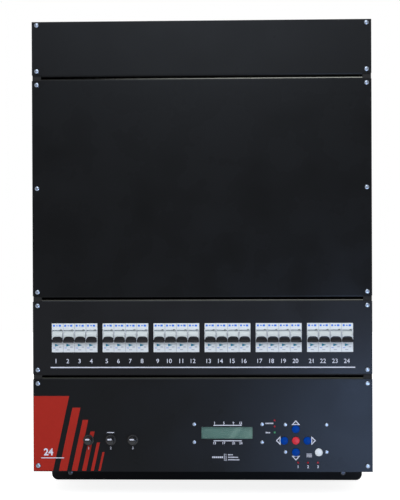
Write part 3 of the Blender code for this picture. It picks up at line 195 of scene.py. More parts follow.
def surface(name, colour, roughness, patch, grain, relief, metallic=0.0, specular=0.5, mottle=0.12,
            tint="ffffff"):
    """A finish with soft patches of tone, varied gloss and a fine grain, in metres."""
    paint, tree, shader, place = new_finish(name, {
        "Metallic": metallic, "Specular IOR Level": specular, "Specular Tint": linear(tint)})
    patches = add_node(tree, "ShaderNodeTexNoise", {"Vector": place, "Scale": 1 / patch, "Detail": 4.0})
    tone = linear(colour)
    dark = (*[channel * (1 - mottle) for channel in tone[:3]], 1.0)
    light = (*[min(1.0, channel * (1 + mottle)) for channel in tone[:3]], 1.0)
    mix = add_node(tree, "ShaderNodeMix", {"Factor": patches.outputs[0], 6: dark, 7: light},
                   data_type="RGBA")
    tree.links.new(mix.outputs[2], shader.inputs["Base Color"])
    gloss = add_node(tree, "ShaderNodeMapRange", {"Value": patches.outputs[0], "From Min": 0.3,
                                                  "From Max": 0.7, "To Min": roughness - 0.05,
                                                  "To Max": roughness + 0.05})
    tree.links.new(gloss.outputs[0], shader.inputs["Roughness"])
    grains = add_node(tree, "ShaderNodeTexNoise", {"Vector": place, "Scale": 1 / grain, "Detail": 2.0})
    bump = add_node(tree, "ShaderNodeBump", {"Height": grains.outputs[0], "Strength": 1.0,
                                             "Distance": relief})
    tree.links.new(bump.outputs[0], shader.inputs["Normal"])
    return paint


def dress(paint, *names):
    """Gives CAD nodes a material."""
    for name in names:
        for slot in nodes[name].material_slots:
            slot.material = paint


# Across the panels, where the painted highlight on their top folds begins and where it is full.
FOLD_HIGHLIGHT_ALONG = (-0.165, 0.080)


def powder_coat(name, colour, roughness=0.31, sheen=0.08, folds=("383933", "474840")):
    """Powder coat on folded sheet. The edge folded to the rear at the top of a panel is a thin paler
    line, a painted highlight where the fold catches the light from above. Its two colours are
    those at the left and at the right."""
    paint = surface(name, colour, roughness, 0.060, 0.0008, 0.00001, specular=sheen, tint="eef6ff")
    tree = paint.node_tree
    shader = tree.nodes["Principled BSDF"]
    # The fold's face looks up and forwards, so the line lies where a face is neither upright nor level.
    facing = add_node(tree, "ShaderNodeSeparateXYZ",
                      {0: add_node(tree, "ShaderNodeNewGeometry").outputs["Normal"]})
    tilted = add_node(tree, "ShaderNodeMapRange", {"Value": facing.outputs["Z"], "From Min": 0.45,
                                                   "From Max": 0.60})
    not_level = add_node(tree, "ShaderNodeMapRange", {"Value": facing.outputs["Z"], "From Min": 0.95,
                                                      "From Max": 0.80})
    on_fold = add_node(tree, "ShaderNodeMath", {0: tilted.outputs[0], 1: not_level.outputs[0]},
                       operation="MULTIPLY")
    spot = add_node(tree, "ShaderNodeSeparateXYZ",
                    {0: add_node(tree, "ShaderNodeTexCoord").outputs["Object"]})
    along = add_node(tree, "ShaderNodeMapRange", {"Value": spot.outputs["X"], "From Min": FOLD_HIGHLIGHT_ALONG[0],
                                                  "From Max": FOLD_HIGHLIGHT_ALONG[1]})
    fold_highlight_tone = add_node(tree, "ShaderNodeMix", {"Factor": along.outputs[0], 6: linear(folds[0]),
                                            7: linear(folds[1])}, data_type="RGBA")
    paler = add_node(tree, "ShaderNodeMix", {"Factor": on_fold.outputs[0],
                                             6: shader.inputs["Base Color"].links[0].from_socket,
                                             7: fold_highlight_tone.outputs[2]}, data_type="RGBA")
    tree.links.new(paler.outputs[2], shader.inputs["Base Color"])
    return paint


# Powder coat: 0.3 mm grain, drawn at 0.8 mm so that it shows. The panels and the case carry one
# coat in several tones of black, as painted light and shade: each copy is darker or lighter to match
# the light on it. The case's coat is duller, and its end plates' the coarsest.
dress(powder_coat("black_powder_coat", "0b0b0c"), "terminal_cover", "control_panel")
dress(powder_coat("dull_powder_coat", "2a2a2b", roughness=0.48, sheen=0.02), "case_shell")
dress(powder_coat("textured_powder_coat", "0f0f10", roughness=0.62), "top_plate", "bottom_plate")
dress(powder_coat("deep_black_powder_coat", "080809", roughness=0.27, folds=("1b1b19", "9fa098")),
      "main_cover")
dress(powder_coat("soft_black_powder_coat", "151517", folds=("42423e", "6b6c65")), "breaker_panel")


# The panel screws: pan-head M4 with a cross recess, zinc plated, two or three at each side of
# every panel, driven through its ears into the case rails.
def shift(shape, way):
    """Moves a shape."""
    bmesh.ops.translate(shape, verts=shape.verts, vec=way)


def swing(shape, degrees, axis):
    """Turns a shape about an axis through the origin."""
    bmesh.ops.rotate(shape, verts=shape.verts, cent=(0, 0, 0),
                     matrix=Matrix.Rotation(math.radians(degrees), 3, axis))


def turned(profile, centre, steps):
    """A closed shape from radius and depth pairs turned about a line along Y."""
    shape = bmesh.new()
    points = [shape.verts.new((radius, depth, 0.0)) for radius, depth in profile]
    edges = [shape.edges.new(pair) for pair in zip(points, points[1:])]
    bmesh.ops.spin(shape, geom=points + edges, cent=(0, 0, 0), axis=(0, 1, 0), angle=math.tau,
                   steps=steps, use_merge=True, use_duplicate=False)
    bmesh.ops.remove_doubles(shape, verts=shape.verts, dist=1e-6)
    bmesh.ops.recalc_face_normals(shape, faces=shape.faces)
    shift(shape, (centre[0], 0, centre[1]))
    return shape


def as_object(shape, name="work"):
    """A shape as an object in the scene."""
    mesh = bpy.data.meshes.new(name)
    shape.to_mesh(mesh)
    made = bpy.data.objects.new(name, mesh)
    bpy.context.scene.collection.objects.link(made)
    return made


def combined(shape, operation, other):
    """A shape cut by another or joined with it."""
    work, tool = as_object(shape), as_object(other)
    change = work.modifiers.new("change", "BOOLEAN")
    change.operation = operation
    change.solver = "EXACT"
    change.object = tool
    done = bpy.data.meshes.new_from_object(work.evaluated_get(bpy.context.evaluated_depsgraph_get()))
    result = bmesh.new()
    result.from_mesh(done)
    for spare in (work, tool):
        mesh = spare.data
        bpy.data.objects.remove(spare)
        bpy.data.meshes.remove(mesh)
    bpy.data.meshes.remove(done)
    return result


def together(shapes):
    """Shapes joined as one."""
    whole = bmesh.new()
    for shape in shapes:
        mesh = bpy.data.meshes.new("work")
        shape.to_mesh(mesh)
        shape.free()
        whole.from_mesh(mesh)
        bpy.data.meshes.remove(mesh)
    return whole


def repeated(shape, matrices):
    """Copies of a shape, each moved by its own matrix, in one shape."""
    copies = [shape.copy() for _ in matrices]
    for copy, matrix in zip(copies, matrices):
        copy.transform(matrix)
    return together(copies)


def piece(name, shape, paint, body):
    """One named piece of the dimmer from a shape in its place, riding on a body."""
    bmesh.ops.recalc_face_normals(shape, faces=shape.faces)
    made = as_object(shape, name)
    shape.free()
    made.data.materials.append(paint)
    made.data.shade_smooth()
    made.data.set_sharp_from_angle(angle=math.radians(CREASE))
    flats = made.modifiers.new("flats", "WEIGHTED_NORMAL")
    flats.keep_sharp = True
    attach(made, body)
    return made


def pan_head(radius, height, under):
    """A pan head with a cross recess, its seat at depth zero and a short shank behind it."""
    profile = [(radius * out, -height * up) for out, up in HEAD]
    profile += [(radius * HEAD[-1][0], under), (0.0, under)]
    head = turned(profile, (0, 0), HEAD_STEPS)
    for turn in (0, 90):
        arm = bmesh.new()
        bmesh.ops.create_cube(arm, size=1.0)
        for vert in arm.verts:
            long, wide = RECESS_FLOOR if vert.co.y > 0 else RECESS_MOUTH
            vert.co.x *= radius * long
            vert.co.y *= height * RECESS_TALL
            vert.co.z *= radius * wide
        swing(arm, turn, "Y")
        shift(arm, (0, -height, 0))
        head = combined(head, "DIFFERENCE", arm)
    return head


def driven(across, depth, height):
    """A screw's place, turned as the last twist of the driver left it."""
    turn = Matrix.Rotation(random.uniform(0, math.pi / 2), 4, "Y")
    return Matrix.Translation((across, depth, height)) @ turn


# The angle in degrees past which an edge looks sharp.
CREASE = 35
# The head's outline as shares of its radius and height, from its middle to the shank.
HEAD = ((0.0, 1.0), (0.55, 0.97), (0.8, 0.86), (0.93, 0.66), (1.0, 0.36), (1.0, 0.0), (0.48, 0.0))
HEAD_STEPS = 28
# The recess as shares of the same: length and width of an arm at each end, and the cutter's height.
RECESS_MOUTH, RECESS_FLOOR, RECESS_TALL = (1.15, 0.34), (0.5, 0.2), 1.2
# Zinc plate: a bright, slightly cold metal, a little uneven from the barrel it was plated in.
zinc_plate = surface("zinc_plate", "78818e", 0.28, 0.004, 0.0007, 0.00001, metallic=1.0, mottle=0.2)
PANEL_SCREW_RADIUS = 0.0038
PANEL_SCREW_HEIGHT = 0.0026
SHANK_BEHIND = 0.0025
CONTROL_PANEL_TALL = 0.146
SIDE_INSET = 0.0076
EDGE_INSET = 0.0093
TOP_INSET = 0.0054
front_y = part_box("main_cover")[0].y
spots = []
for name in ("terminal_cover", "main_cover", "breaker_panel", "control_panel"):
    low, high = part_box(name)
    low_z = high.z - CONTROL_PANEL_TALL if name == "control_panel" else low.z
    inset = TOP_INSET if name == "terminal_cover" else EDGE_INSET
    heights = [high.z - inset, low_z + EDGE_INSET]
    if name == "main_cover":
        heights.append((high.z + low_z) / 2)
    for across in (low.x + SIDE_INSET, high.x - SIDE_INSET):
        spots += [(across, height) for height in heights]
turns = [driven(across, front_y, height) for across, height in spots]
screw = pan_head(PANEL_SCREW_RADIUS, PANEL_SCREW_HEIGHT, SHANK_BEHIND)
piece("panel_screws", repeated(screw, turns), zinc_plate, "dimmer")


# The board screws: smaller pan heads round the display window and the keypad, which hold the
# boards behind the control panel on their spacers.
BOARD_SCREW_RADIUS = 0.0031
BOARD_SCREW_HEIGHT = 0.0022
right_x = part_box("control_panel")[1].x
foot_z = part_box("control_panel")[0].z
# Middle from the panel's right edge and above its foot, and the spacing across and up.
DISPLAY_SCREWS = (0.2224, 0.0598, 0.1048, 0.0276)
KEYPAD_SCREWS = (0.1024, 0.0519, 0.0634, 0.0422)
turns = []
for from_right, above_foot, width, height in (DISPLAY_SCREWS, KEYPAD_SCREWS):
    for way_x in (-1, 1):
        for way_z in (-1, 1):
            turns.append(driven(right_x - from_right + way_x * width / 2, front_y,
                                foot_z + above_foot + way_z * height / 2))
screw = pan_head(BOARD_SCREW_RADIUS, BOARD_SCREW_HEIGHT, SHANK_BEHIND)
piece("board_screws", repeated(screw, turns), zinc_plate, "dimmer")


# The wall screws: two pan-head screws of blackened steel through the flange under the case, which
# hold its foot to the wall.
WALL_SCREW_RADIUS = 0.0046
WALL_SCREW_HEIGHT = 0.0032
WALL_SCREW_SPACING = 0.458
WALL_SCREW_ABOVE_FOOT = 0.0125
SHEET = 0.0015
turns = [driven(way * WALL_SCREW_SPACING / 2, -SHEET, solid_box[0].z + WALL_SCREW_ABOVE_FOOT)
         for way in (-1, 1)]
screw = pan_head(WALL_SCREW_RADIUS, WALL_SCREW_HEIGHT, SHEET)
# Blackened steel: an oiled black oxide skin, dark with a dull glint.
blackened_steel = surface("blackened_steel", "3c3e43", 0.4, 0.004, 0.0006, 0.00001, metallic=1.0)
piece("wall_screws", repeated(screw, turns), blackened_steel, "dimmer")


# The breakers: six banks of four miniature breakers, moulded from white polyamide. Each bank is a
# block of four housings pressed side by side, with a round pocket for every toggle.
def soften(names):
    """Rounds the sharp edges of CAD nodes a little, as a mould leaves them."""
    for name in names:
        weld = nodes[name].modifiers.new("weld", "WELD")
        weld.merge_threshold = WELDED
        bevel = nodes[name].modifiers.new("bevel", "BEVEL")
        bevel.width = MOULD_EDGE
        bevel.segments = 2
        bevel.limit_method = "ANGLE"
        bevel.angle_limit = math.radians(SHARP)
        bevel.harden_normals = True


MOULD_EDGE, SHARP, WELDED = 0.0002, 50, 0.000002
# Polyamide: an eggshell skin from the spark-eroded mould, 0.1 mm grain drawn at 0.6 mm.
white_polyamide = surface("white_polyamide", "cbd2d9", 0.42, 0.012, 0.0006, 0.00001, specular=0.3,
                          mottle=0.03)
BANKS = [f"breaker_bank_{number}" for number in range(1, 7)]
dress(white_polyamide, *BANKS)
soften(BANKS)


# The breakers' printed marks: three blue marks above every toggle, and below it a teal arrowhead,
# a blue mark and two rating marks, pad-printed on the noses. A dark leaning mark at the upper right
# of every toggle's window is painted shadow of the window's corner. Grey strips sunk in the joints
# between the housings are painted shade where light hardly reaches into the grooves.
def inked(shape):
    """A flat shape drawn out to the thickness of a layer of ink."""
    grown = bmesh.ops.extrude_face_region(shape, geom=shape.faces[:])
    raised = [item for item in grown["geom"] if isinstance(item, bmesh.types.BMVert)]
    bmesh.ops.translate(shape, verts=raised, vec=(0, -INK_SUNK - INK_PROUD, 0))
    bmesh.ops.recalc_face_normals(shape, faces=shape.faces)
    return shape


def printed(corners, front):
    """A layer of ink on a face at a depth, its outline given by corners in X and Z."""
    shape = bmesh.new()
    shape.faces.new([shape.verts.new((across, front + INK_SUNK, height)) for across, height in corners])
    return inked(shape)


def bar(centre, size, front, lean=0.0):
    """A printed bar, its top moved sideways by the lean."""
    across, height = centre
    half_width, half_height = size[0] / 2, size[1] / 2
    corners = [(across + side * half_width + level * lean / 2, height + level * half_height)
               for side, level in ((-1, -1), (1, -1), (1, 1), (-1, 1))]
    return printed(corners, front)


INK_SUNK = 0.00002
INK_PROUD = 0.00008
MODULE = 0.0177
PER_BANK = 4
NOSE_BELOW_PIVOT = 0.0026
# Each mark's place across and up from the middle of its nose, width and height.
BLUE_MARKS = ((-0.0056, 0.0188, 0.0030, 0.0029), (-0.0008, 0.0188, 0.0024, 0.0018),
              (0.0037, 0.0188, 0.0036, 0.0029), (-0.0052, -0.0157, 0.0036, 0.0008))
GREY_MARKS = ((0.0040, -0.0143, 0.0038, 0.0014), (-0.0009, -0.0186, 0.0046, 0.0012))
ARROW = (0.0066, 0.0042)
ARROW_AT = (-0.0006, -0.0113)
# The painted shadow at each window's upper right corner: place across and up, width and height, then the
# lean of its top.
CORNER_SHADOW = (0.0050, 0.0124, 0.0030, 0.0013)
CORNER_SHADOW_LEAN = 0.0012
# The grey strips of painted shade in the housing joints: width and height, then how far back they sit.
JOINT = (0.00045, 0.0440)
JOINT_SUNK = 0.0003
# Pad-printing ink: flat and even, with slightly thin edges. The grey also paints the shade in the
# housing joints, and the dark grey is painted shadow at the windows' corners.
blue_ink = surface("blue_ink", "296dd8", 0.5, 0.003, 0.0005, 0.000002, specular=0.2)
teal_ink = surface("teal_ink", "007698", 0.5, 0.003, 0.0005, 0.000002, specular=0.05)
grey_ink_and_joint_shade = surface("grey_ink_and_joint_shade", "9a9fad", 0.5, 0.003, 0.0005, 0.000002, specular=0.2)
corner_shadow_paint = surface("painted_corner_shadow", "5f625c", 0.5, 0.003, 0.0005, 0.000002, specular=0.2)
blue_marks, arrows, grey_marks, corner_shadows, joint_shade_strips = [], [], [], [], []
modules = []
nose_centre = joints["toggle_01_pivot"]["pos_m"][2] - NOSE_BELOW_PIVOT
for name in BANKS:
    low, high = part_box(name)
    centre_x = (low.x + high.x) / 2
    for number in range(PER_BANK):
        modules.append((centre_x + (number - (PER_BANK - 1) / 2) * MODULE, nose_centre, low.y))
        if number:
            joint_x = centre_x + (number - PER_BANK / 2) * MODULE
            joint_shade_strips.append(bar((joint_x, nose_centre), JOINT, low.y + JOINT_SUNK))
for across, height, front in modules:
    for marks, places in ((blue_marks, BLUE_MARKS), (grey_marks, GREY_MARKS)):
        for way, up, width, tall in places:
            marks.append(bar((across + way, height + up), (width, tall), front))
    left, right = across + ARROW_AT[0] - ARROW[0] / 2, across + ARROW_AT[0] + ARROW[0] / 2
    up = height + ARROW_AT[1]
    arrows.append(printed([(left, up - ARROW[1] / 2), (right, up), (left, up + ARROW[1] / 2)], front))
    corner_shadows.append(bar((across + CORNER_SHADOW[0], height + CORNER_SHADOW[1]), CORNER_SHADOW[2:], front, lean=CORNER_SHADOW_LEAN))
piece("breaker_blue_marks", together(blue_marks), blue_ink, "dimmer")
piece("breaker_arrows", together(arrows), teal_ink, "dimmer")
piece("breaker_rating_marks", together(grey_marks), grey_ink_and_joint_shade, "dimmer")
# Painted shadow at every window's upper right corner.
piece("breaker_corner_shadows", together(corner_shadows), corner_shadow_paint, "dimmer")
# Painted shade in the joints between the housings.
piece("breaker_joint_shade", together(joint_shade_strips), grey_ink_and_joint_shade, "dimmer")


# The toggles: black polyamide levers, each moulded in one with the drum that turns in its pocket.
# A pale flag set into the drum shows above the lever while the breaker is off.
DRUM = 0.010
DRUM_WIDTH = 0.0152
DRUM_EDGE = 0.0003
DRUM_STEPS = 48
OFF_ANGLE = -30.0
# Reach from the drum's axis, half width and half thickness of the lever's rounded sections.
LEVER_SECTIONS = ((0.0060, 0.0066, 0.0027), (0.0094, 0.0071, 0.0027), (0.0104, 0.0076, 0.0026),
                  (0.0114, 0.0081, 0.0024), (0.0124, 0.0085, 0.0022), (0.0140, 0.0086, 0.0021),
                  (0.0160, 0.0086, 0.0018), (0.0170, 0.0086, 0.0014), (0.0175, 0.0085, 0.0010),
                  (0.0177, 0.0084, 0.0004))
SECTION_STEPS = 32
# The powers that square a section's corners, across and up.
SQUARED = (0.3, 0.6)


def drum():
    """The drum alone, lying along X with bevelled rims."""
    shape = bmesh.new()
    bmesh.ops.create_cone(shape, cap_ends=True, segments=DRUM_STEPS, radius1=DRUM, radius2=DRUM,
                          depth=DRUM_WIDTH)
    rims = [line for line in shape.edges if abs(line.verts[0].co.z - line.verts[1].co.z) < 1e-7]
    bmesh.ops.bevel(shape, geom=rims, offset=DRUM_EDGE, segments=2, profile=0.5, affect="EDGES",
                    material=-1)
    swing(shape, 90, "Y")
    return shape


def lever():
    """The lever alone, a skin over rounded sections that reach from the drum's axis along -Y."""
    shape = bmesh.new()
    half_step = Matrix.Rotation(math.pi / SECTION_STEPS, 4, "Z")
    loops = []
    for section in LEVER_SECTIONS:
        reach, half_width, half_thick = section
        at_an_end = section in (LEVER_SECTIONS[0], LEVER_SECTIONS[-1])
        made = bmesh.ops.create_circle(shape, cap_ends=at_an_end, segments=SECTION_STEPS, radius=1,
                                       matrix=half_step)
        for vert in made["verts"]:
            across, up = (math.copysign(abs(way) ** power, way) for way, power in zip(vert.co, SQUARED))
            vert.co = (across * half_width, -reach, up * half_thick)
        loops.append(list({line for vert in made["verts"] for line in vert.link_edges}))
    for first, second in zip(loops, loops[1:]):
        bmesh.ops.bridge_loops(shape, edges=first + second)
    bmesh.ops.recalc_face_normals(shape, faces=shape.faces)
    return shape


# Polyamide filled with carbon black: deep black, rubbed a little glossy where fingers touch it.
black_polyamide = surface("black_polyamide", "18181b", 0.42, 0.006, 0.0006, 0.000012, specular=0.12,
                          mottle=0.2)
drum_and_lever = combined(drum(), "UNION", lever())
swing(drum_and_lever, -OFF_ANGLE, "X")
FLAG_HALF, FLAG_PROUD, FLAG_THICK = 0.0077, 0.00017, 0.0005
# Angles on the drum: the flag's top, its foot at the middle, and how far the foot's ends fall.
FLAG_TOP, FLAG_FOOT, FLAG_FALL = 85.0, -2.5, 15.0
FLAG_COLUMNS, FLAG_STEPS = 10, 12
flag = bmesh.new()
bmesh.ops.create_grid(flag, x_segments=FLAG_COLUMNS, y_segments=FLAG_STEPS, size=1)
for vert in flag.verts:
    share, climb = vert.co.x, (vert.co.y + 1) / 2
    foot = FLAG_FOOT - FLAG_FALL * share ** 4
    angle = math.radians(foot + (FLAG_TOP - foot) * climb)
    vert.co = (share * FLAG_HALF, -math.cos(angle) * (DRUM + FLAG_PROUD),
               math.sin(angle) * (DRUM + FLAG_PROUD))
# The grid's faces look away from the drum, and the thickness grows towards it.
flag.normal_update()
bmesh.ops.solidify(flag, geom=flag.faces[:], thickness=FLAG_THICK)
# Flag polyamide: the breakers' white plastic made greyer, as painted shade for the flag's place deep in
# its pocket, and waxy.
shaded_flag_polyamide = surface("shaded_flag_polyamide", "b6bec1", 0.38, 0.008, 0.0006, 0.000006, specular=0.3,
                            mottle=0.06)
for number in range(1, len(modules) + 1):
    pivot = Matrix.Translation(joints[f"toggle_{number:02}_pivot"]["pos_m"])
    body = f"toggle_{number:02}"
    made = piece(f"lever_{number:02}", repeated(drum_and_lever, [pivot]), black_polyamide, body)
    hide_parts(body)
    piece(f"off_flag_{number:02}", repeated(flag, [pivot]), shaded_flag_polyamide, body)


# The channel numbers: 1 to 24, one under each breaker, screen-printed in white on the breaker
# panel over a thin line.
def lettering(words, height, centre, front, weight):
    """Printed plain characters of a height, centred on a spot in X and Z, and thickened by a weight."""
    curve = bpy.data.curves.new("work", "FONT")
    curve.body = words
    curve.extrude = (INK_SUNK + INK_PROUD) / 2
    curve.offset = weight
    holder = bpy.data.objects.new("work", curve)
    bpy.context.scene.collection.objects.link(holder)
    mesh = bpy.data.meshes.new_from_object(holder.evaluated_get(bpy.context.evaluated_depsgraph_get()))
    bpy.data.objects.remove(holder)
    bpy.data.curves.remove(curve)
    shape = bmesh.new()
    shape.from_mesh(mesh)
    bpy.data.meshes.remove(mesh)
    bmesh.ops.remove_doubles(shape, verts=shape.verts, dist=1e-6)
    bmesh.ops.dissolve_degenerate(shape, edges=shape.edges[:], dist=1e-5)
    wide = [vert.co.x for vert in shape.verts]
    tall = [vert.co.y for vert in shape.verts]
    middle = Vector(((min(wide) + max(wide)) / 2, (min(tall) + max(tall)) / 2, 0))
    shift(shape, -middle)
    size = height / (max(tall) - min(tall))
    bmesh.ops.scale(shape, verts=shape.verts, vec=(size, size, 1))
    swing(shape, 90, "X")
    shift(shape, (centre[0], front + (INK_SUNK - INK_PROUD) / 2, centre[1]))
    return shape


# Screen ink: matt white with faint dark pinholes where the powder coat's grain shows through.
white_ink = surface("white_screen_ink", "c7cbdc", 0.6, 0.002, 0.0004, 0.000003, specular=0.2, mottle=0.06)
NUMBER_TALL = 0.0067
NUMBER_PITCH = 0.0183
NUMBER_SHIFT = -0.0018
NUMBERS_BELOW = 0.0361
NUMBER_WEIGHT = 0.005
# The line's left and right end, and its thickness.
LINE = (-0.235, 0.236, 0.0017)
LINE_UP = 0.0130
marks = []
for index, (across, height, _) in enumerate(modules):
    step = index % PER_BANK - (PER_BANK - 1) / 2
    spot = (across - step * MODULE + step * NUMBER_PITCH + NUMBER_SHIFT, height - NUMBERS_BELOW)
    marks.append(lettering(str(index + 1), NUMBER_TALL, spot, front_y, NUMBER_WEIGHT))
line_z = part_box("breaker_panel")[0].z + LINE_UP
marks.append(bar(((LINE[0] + LINE[1]) / 2, line_z), (LINE[1] - LINE[0], LINE[2]), front_y))
piece("channel_numbers", together(marks), white_ink, "dimmer")


# The keys: six round push-keys through the control panel, ABS caps with a soft dome, a flange
# behind the sheet and a stem that presses the switch.
KEY_RADIUS, KEY_STEPS = 0.0059, 40
KEY_DOME, DOME_STEPS, DOME_SHARE = 0.0006, 6, 0.9
# Round the dome: shares of the key's radius, and depths in heights of the dome.
KEY_ROUND = ((0.97, 1.35), (1.0, 2.0))
# Radius and length along the travel.
KEY_FLANGE = (0.0074, 0.0015)
KEY_STEM = (0.0024, 0.0030)
# ABS: a satin, slightly translucent plastic with a broad soft glint.
blue_abs = surface("blue_abs", "003890", 0.34, 0.006, 0.0006, 0.000006, specular=0.015, mottle=0.1)
red_abs = surface("red_abs", "c22c39", 0.34, 0.006, 0.0006, 0.000006, specular=0.08, mottle=0.1)
white_abs = surface("white_abs", "ccd3db", 0.40, 0.006, 0.0006, 0.000006, specular=0.25, mottle=0.03)
KEYS = {"up": (blue_abs, "blue_key"), "down": (blue_abs, "blue_key"), "left": (blue_abs, "blue_key"),
        "right": (blue_abs, "blue_key"), "enter": (red_abs, "red_key"), "menu": (white_abs, "white_key")}
for name, (paint, slot) in KEYS.items():
    low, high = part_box(f"button_{name}")
    flange_back = high.y - KEY_STEM[1]
    flange_front = flange_back - KEY_FLANGE[1]
    shares = [step / DOME_STEPS for step in range(DOME_STEPS + 1)]
    profile = [(KEY_RADIUS * DOME_SHARE * share, low.y + KEY_DOME * share ** 2) for share in shares]
    profile += [(KEY_RADIUS * out, low.y + KEY_DOME * back) for out, back in KEY_ROUND]
    profile += [(KEY_RADIUS, flange_front), (KEY_FLANGE[0], flange_front), (KEY_FLANGE[0], flange_back),
                (KEY_STEM[0], flange_back), (KEY_STEM[0], high.y), (0.0, high.y)]
    cap = turned(profile, ((low.x + high.x) / 2, (low.z + high.z) / 2), KEY_STEPS)
    made = piece(f"{name}_key", cap, paint, f"button_{name}")
    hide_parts(f"button_{name}")


# The lamps: six small indicator lamps in the control panel, domed lenses of tinted epoxy over
# the light guides, red but for one green.
def lens(centre):
    """A domed lens standing a little out of its hole."""
    return turned([(radius, front_y + depth) for radius, depth in LENS], centre, LENS_STEPS)


# Radius and depth from the panel's front, round the lens.
LENS = [(0.0, -0.0010), (0.0006, -0.00096), (0.0011, -0.00082), (0.00145, -0.00058),
        (0.00162, -0.0003), (0.00165, 0.0), (0.00165, 0.0019), (0.0, 0.0019)]
LENS_STEPS = 24
# Tinted epoxy: glossy and deep, darker where nothing lights it from behind.
red_epoxy = surface("red_epoxy", "900c1c", 0.18, 0.002, 0.0005, 0.000002, specular=0.12, mottle=0.15)
green_epoxy = surface("green_epoxy", "3c805c", 0.18, 0.002, 0.0005, 0.000002, specular=0.12, mottle=0.15)
# The first lamp's middle from the panel's right edge and above its foot, and the step to the next.
COLUMN = (0.1508, 0.0794, 0.0093)
ROW = (0.1148, 0.0143, 0.01525)
column = [(right_x - COLUMN[0], foot_z + COLUMN[1] - step * COLUMN[2]) for step in range(3)]
row = [(right_x - ROW[0] + step * ROW[2], foot_z + ROW[1]) for step in range(3)]
piece("red_lamps", together([lens(spot) for spot in column[:2] + row]), red_epoxy, "dimmer")
piece("green_lamp", lens(column[2]), green_epoxy, "dimmer")


# The control panel's white print: arrow triangles round the keys, numbers under the lamps, the
# display's scale and the fuse numbers, screen-printed like the channel numbers.
def triangle(tip, base_middle, width, stroke):
    """An outlined triangle from its tip and the middle of its base."""
    along = Vector(tip) - Vector(base_middle)
    across = Vector((-along.y, along.x)).normalized() * width / 2
    corners = [Vector(tip), Vector(base_middle) + across, Vector(base_middle) - across]
    shape = bmesh.new()
    face = shape.faces.new([shape.verts.new((spot.x, front_y + INK_SUNK, spot.y)) for spot in corners])
    shape.normal_update()
    bmesh.ops.inset_region(shape, faces=[face], thickness=stroke, use_even_offset=True, use_boundary=True)
    bmesh.ops.delete(shape, geom=[face], context="FACES_ONLY")
    return inked(shape)


def dashes(start, height, width, tall, count):
    """A row of short printed bars, its left end at a spot in X and Z."""
    pitch = width / count
    dash = pitch * DASH_SHARE
    return [bar((start + pitch * index + dash / 2, height), (dash, tall), front_y)
            for index in range(count)]


def label(words, tall, across, height, front=front_y):
    """A printed number in the control panel's bold figures."""
    return lettering(words, tall, (across, height), front, PRINT_WEIGHT)


DASH_SHARE = 0.7
PRINT_WEIGHT = 0.025
# From the enter key's centre: the tip and base of each arrow across and up, and its base's width.
KEY_ARROWS = (((0, 0.0316), (0, 0.0241), 0.0134), ((0, -0.0309), (0, -0.0234), 0.0134),
              ((-0.0307, 0), (-0.0236, 0), 0.0142), ((0.0309, 0), (0.0238, 0), 0.0142))
ARROW_STROKE = 0.0014
low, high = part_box("button_enter")
key_x, key_z = (low.x + high.x) / 2, (low.z + high.z) / 2
marks = []
for tip, base, width in KEY_ARROWS:
    marks.append(triangle((key_x + tip[0], key_z + tip[1]), (key_x + base[0], key_z + base[1]), width,
                          ARROW_STROKE))
LAMP_NUMBER_TALL, LAMP_NUMBERS_BELOW = 0.0044, 0.0062
for number, (across, height) in enumerate(row, start=1):
    marks.append(label(str(number), LAMP_NUMBER_TALL, across, height - LAMP_NUMBERS_BELOW))
SCALE = (0.0173, 0.0609)
SCALE_BAR, SCALE_TICK, SCALE_NUMBER_TALL = 0.0012, 0.0008, 0.0038
SCALE_TICKS = (0.0190, 0.0334, 0.0481, 0.0594)
# Height of each bar above the panel's foot, its ticks and numbers above it, and the numbers.
SCALE_ROWS = ((0.0719, 0.0010, 0.0036, ("1", "5", "9", "12")),
              (0.0480, -0.0010, -0.0036, ("13", "17", "21", "24")))
for up, tick_up, word_up, words in SCALE_ROWS:
    marks.append(bar(((SCALE[0] + SCALE[1]) / 2, foot_z + up), (SCALE[1] - SCALE[0], SCALE_BAR), front_y))
    for across, word in zip(SCALE_TICKS, words):
        marks.append(bar((across, foot_z + up + tick_up), (SCALE_TICK, SCALE_TICK), front_y))
        marks.append(label(word, SCALE_NUMBER_TALL, across, foot_z + up + word_up))
# The connector's pin key under the display: numbered rows of dashes, a rule and a label.
PIN_KEY_FROM_RIGHT, PIN_KEY_ABOVE_FOOT = 0.2269, 0.0225
PIN_ROWS = ((1, 0.0039, 0.0080), (2, 0.0, 0.0160), (3, -0.0039, 0.0180))
PIN_NUMBER_TALL, PIN_NUMBER_IN = 0.0030, 0.0008
PIN_DASHES_IN, PIN_DASH_PITCH, PIN_DASH_TALL = 0.0040, 0.0020, 0.0016
# From the key's start: the label's left end, width, height and dashes, and the rule's place and size.
PIN_LABEL = (-0.0205, 0.0175, 0.0026, 6)
PIN_RULE = (-0.0018, 0.0007, 0.0110)
start_x, middle_z = right_x - PIN_KEY_FROM_RIGHT, foot_z + PIN_KEY_ABOVE_FOOT
for number, up, width in PIN_ROWS:
    marks.append(label(str(number), PIN_NUMBER_TALL, start_x + PIN_NUMBER_IN, middle_z + up))
    marks += dashes(start_x + PIN_DASHES_IN, middle_z + up, width, PIN_DASH_TALL,
                    round(width / PIN_DASH_PITCH))
marks += dashes(start_x + PIN_LABEL[0], middle_z, *PIN_LABEL[1:])
marks.append(bar((start_x + PIN_RULE[0], middle_z), PIN_RULE[1:], front_y))
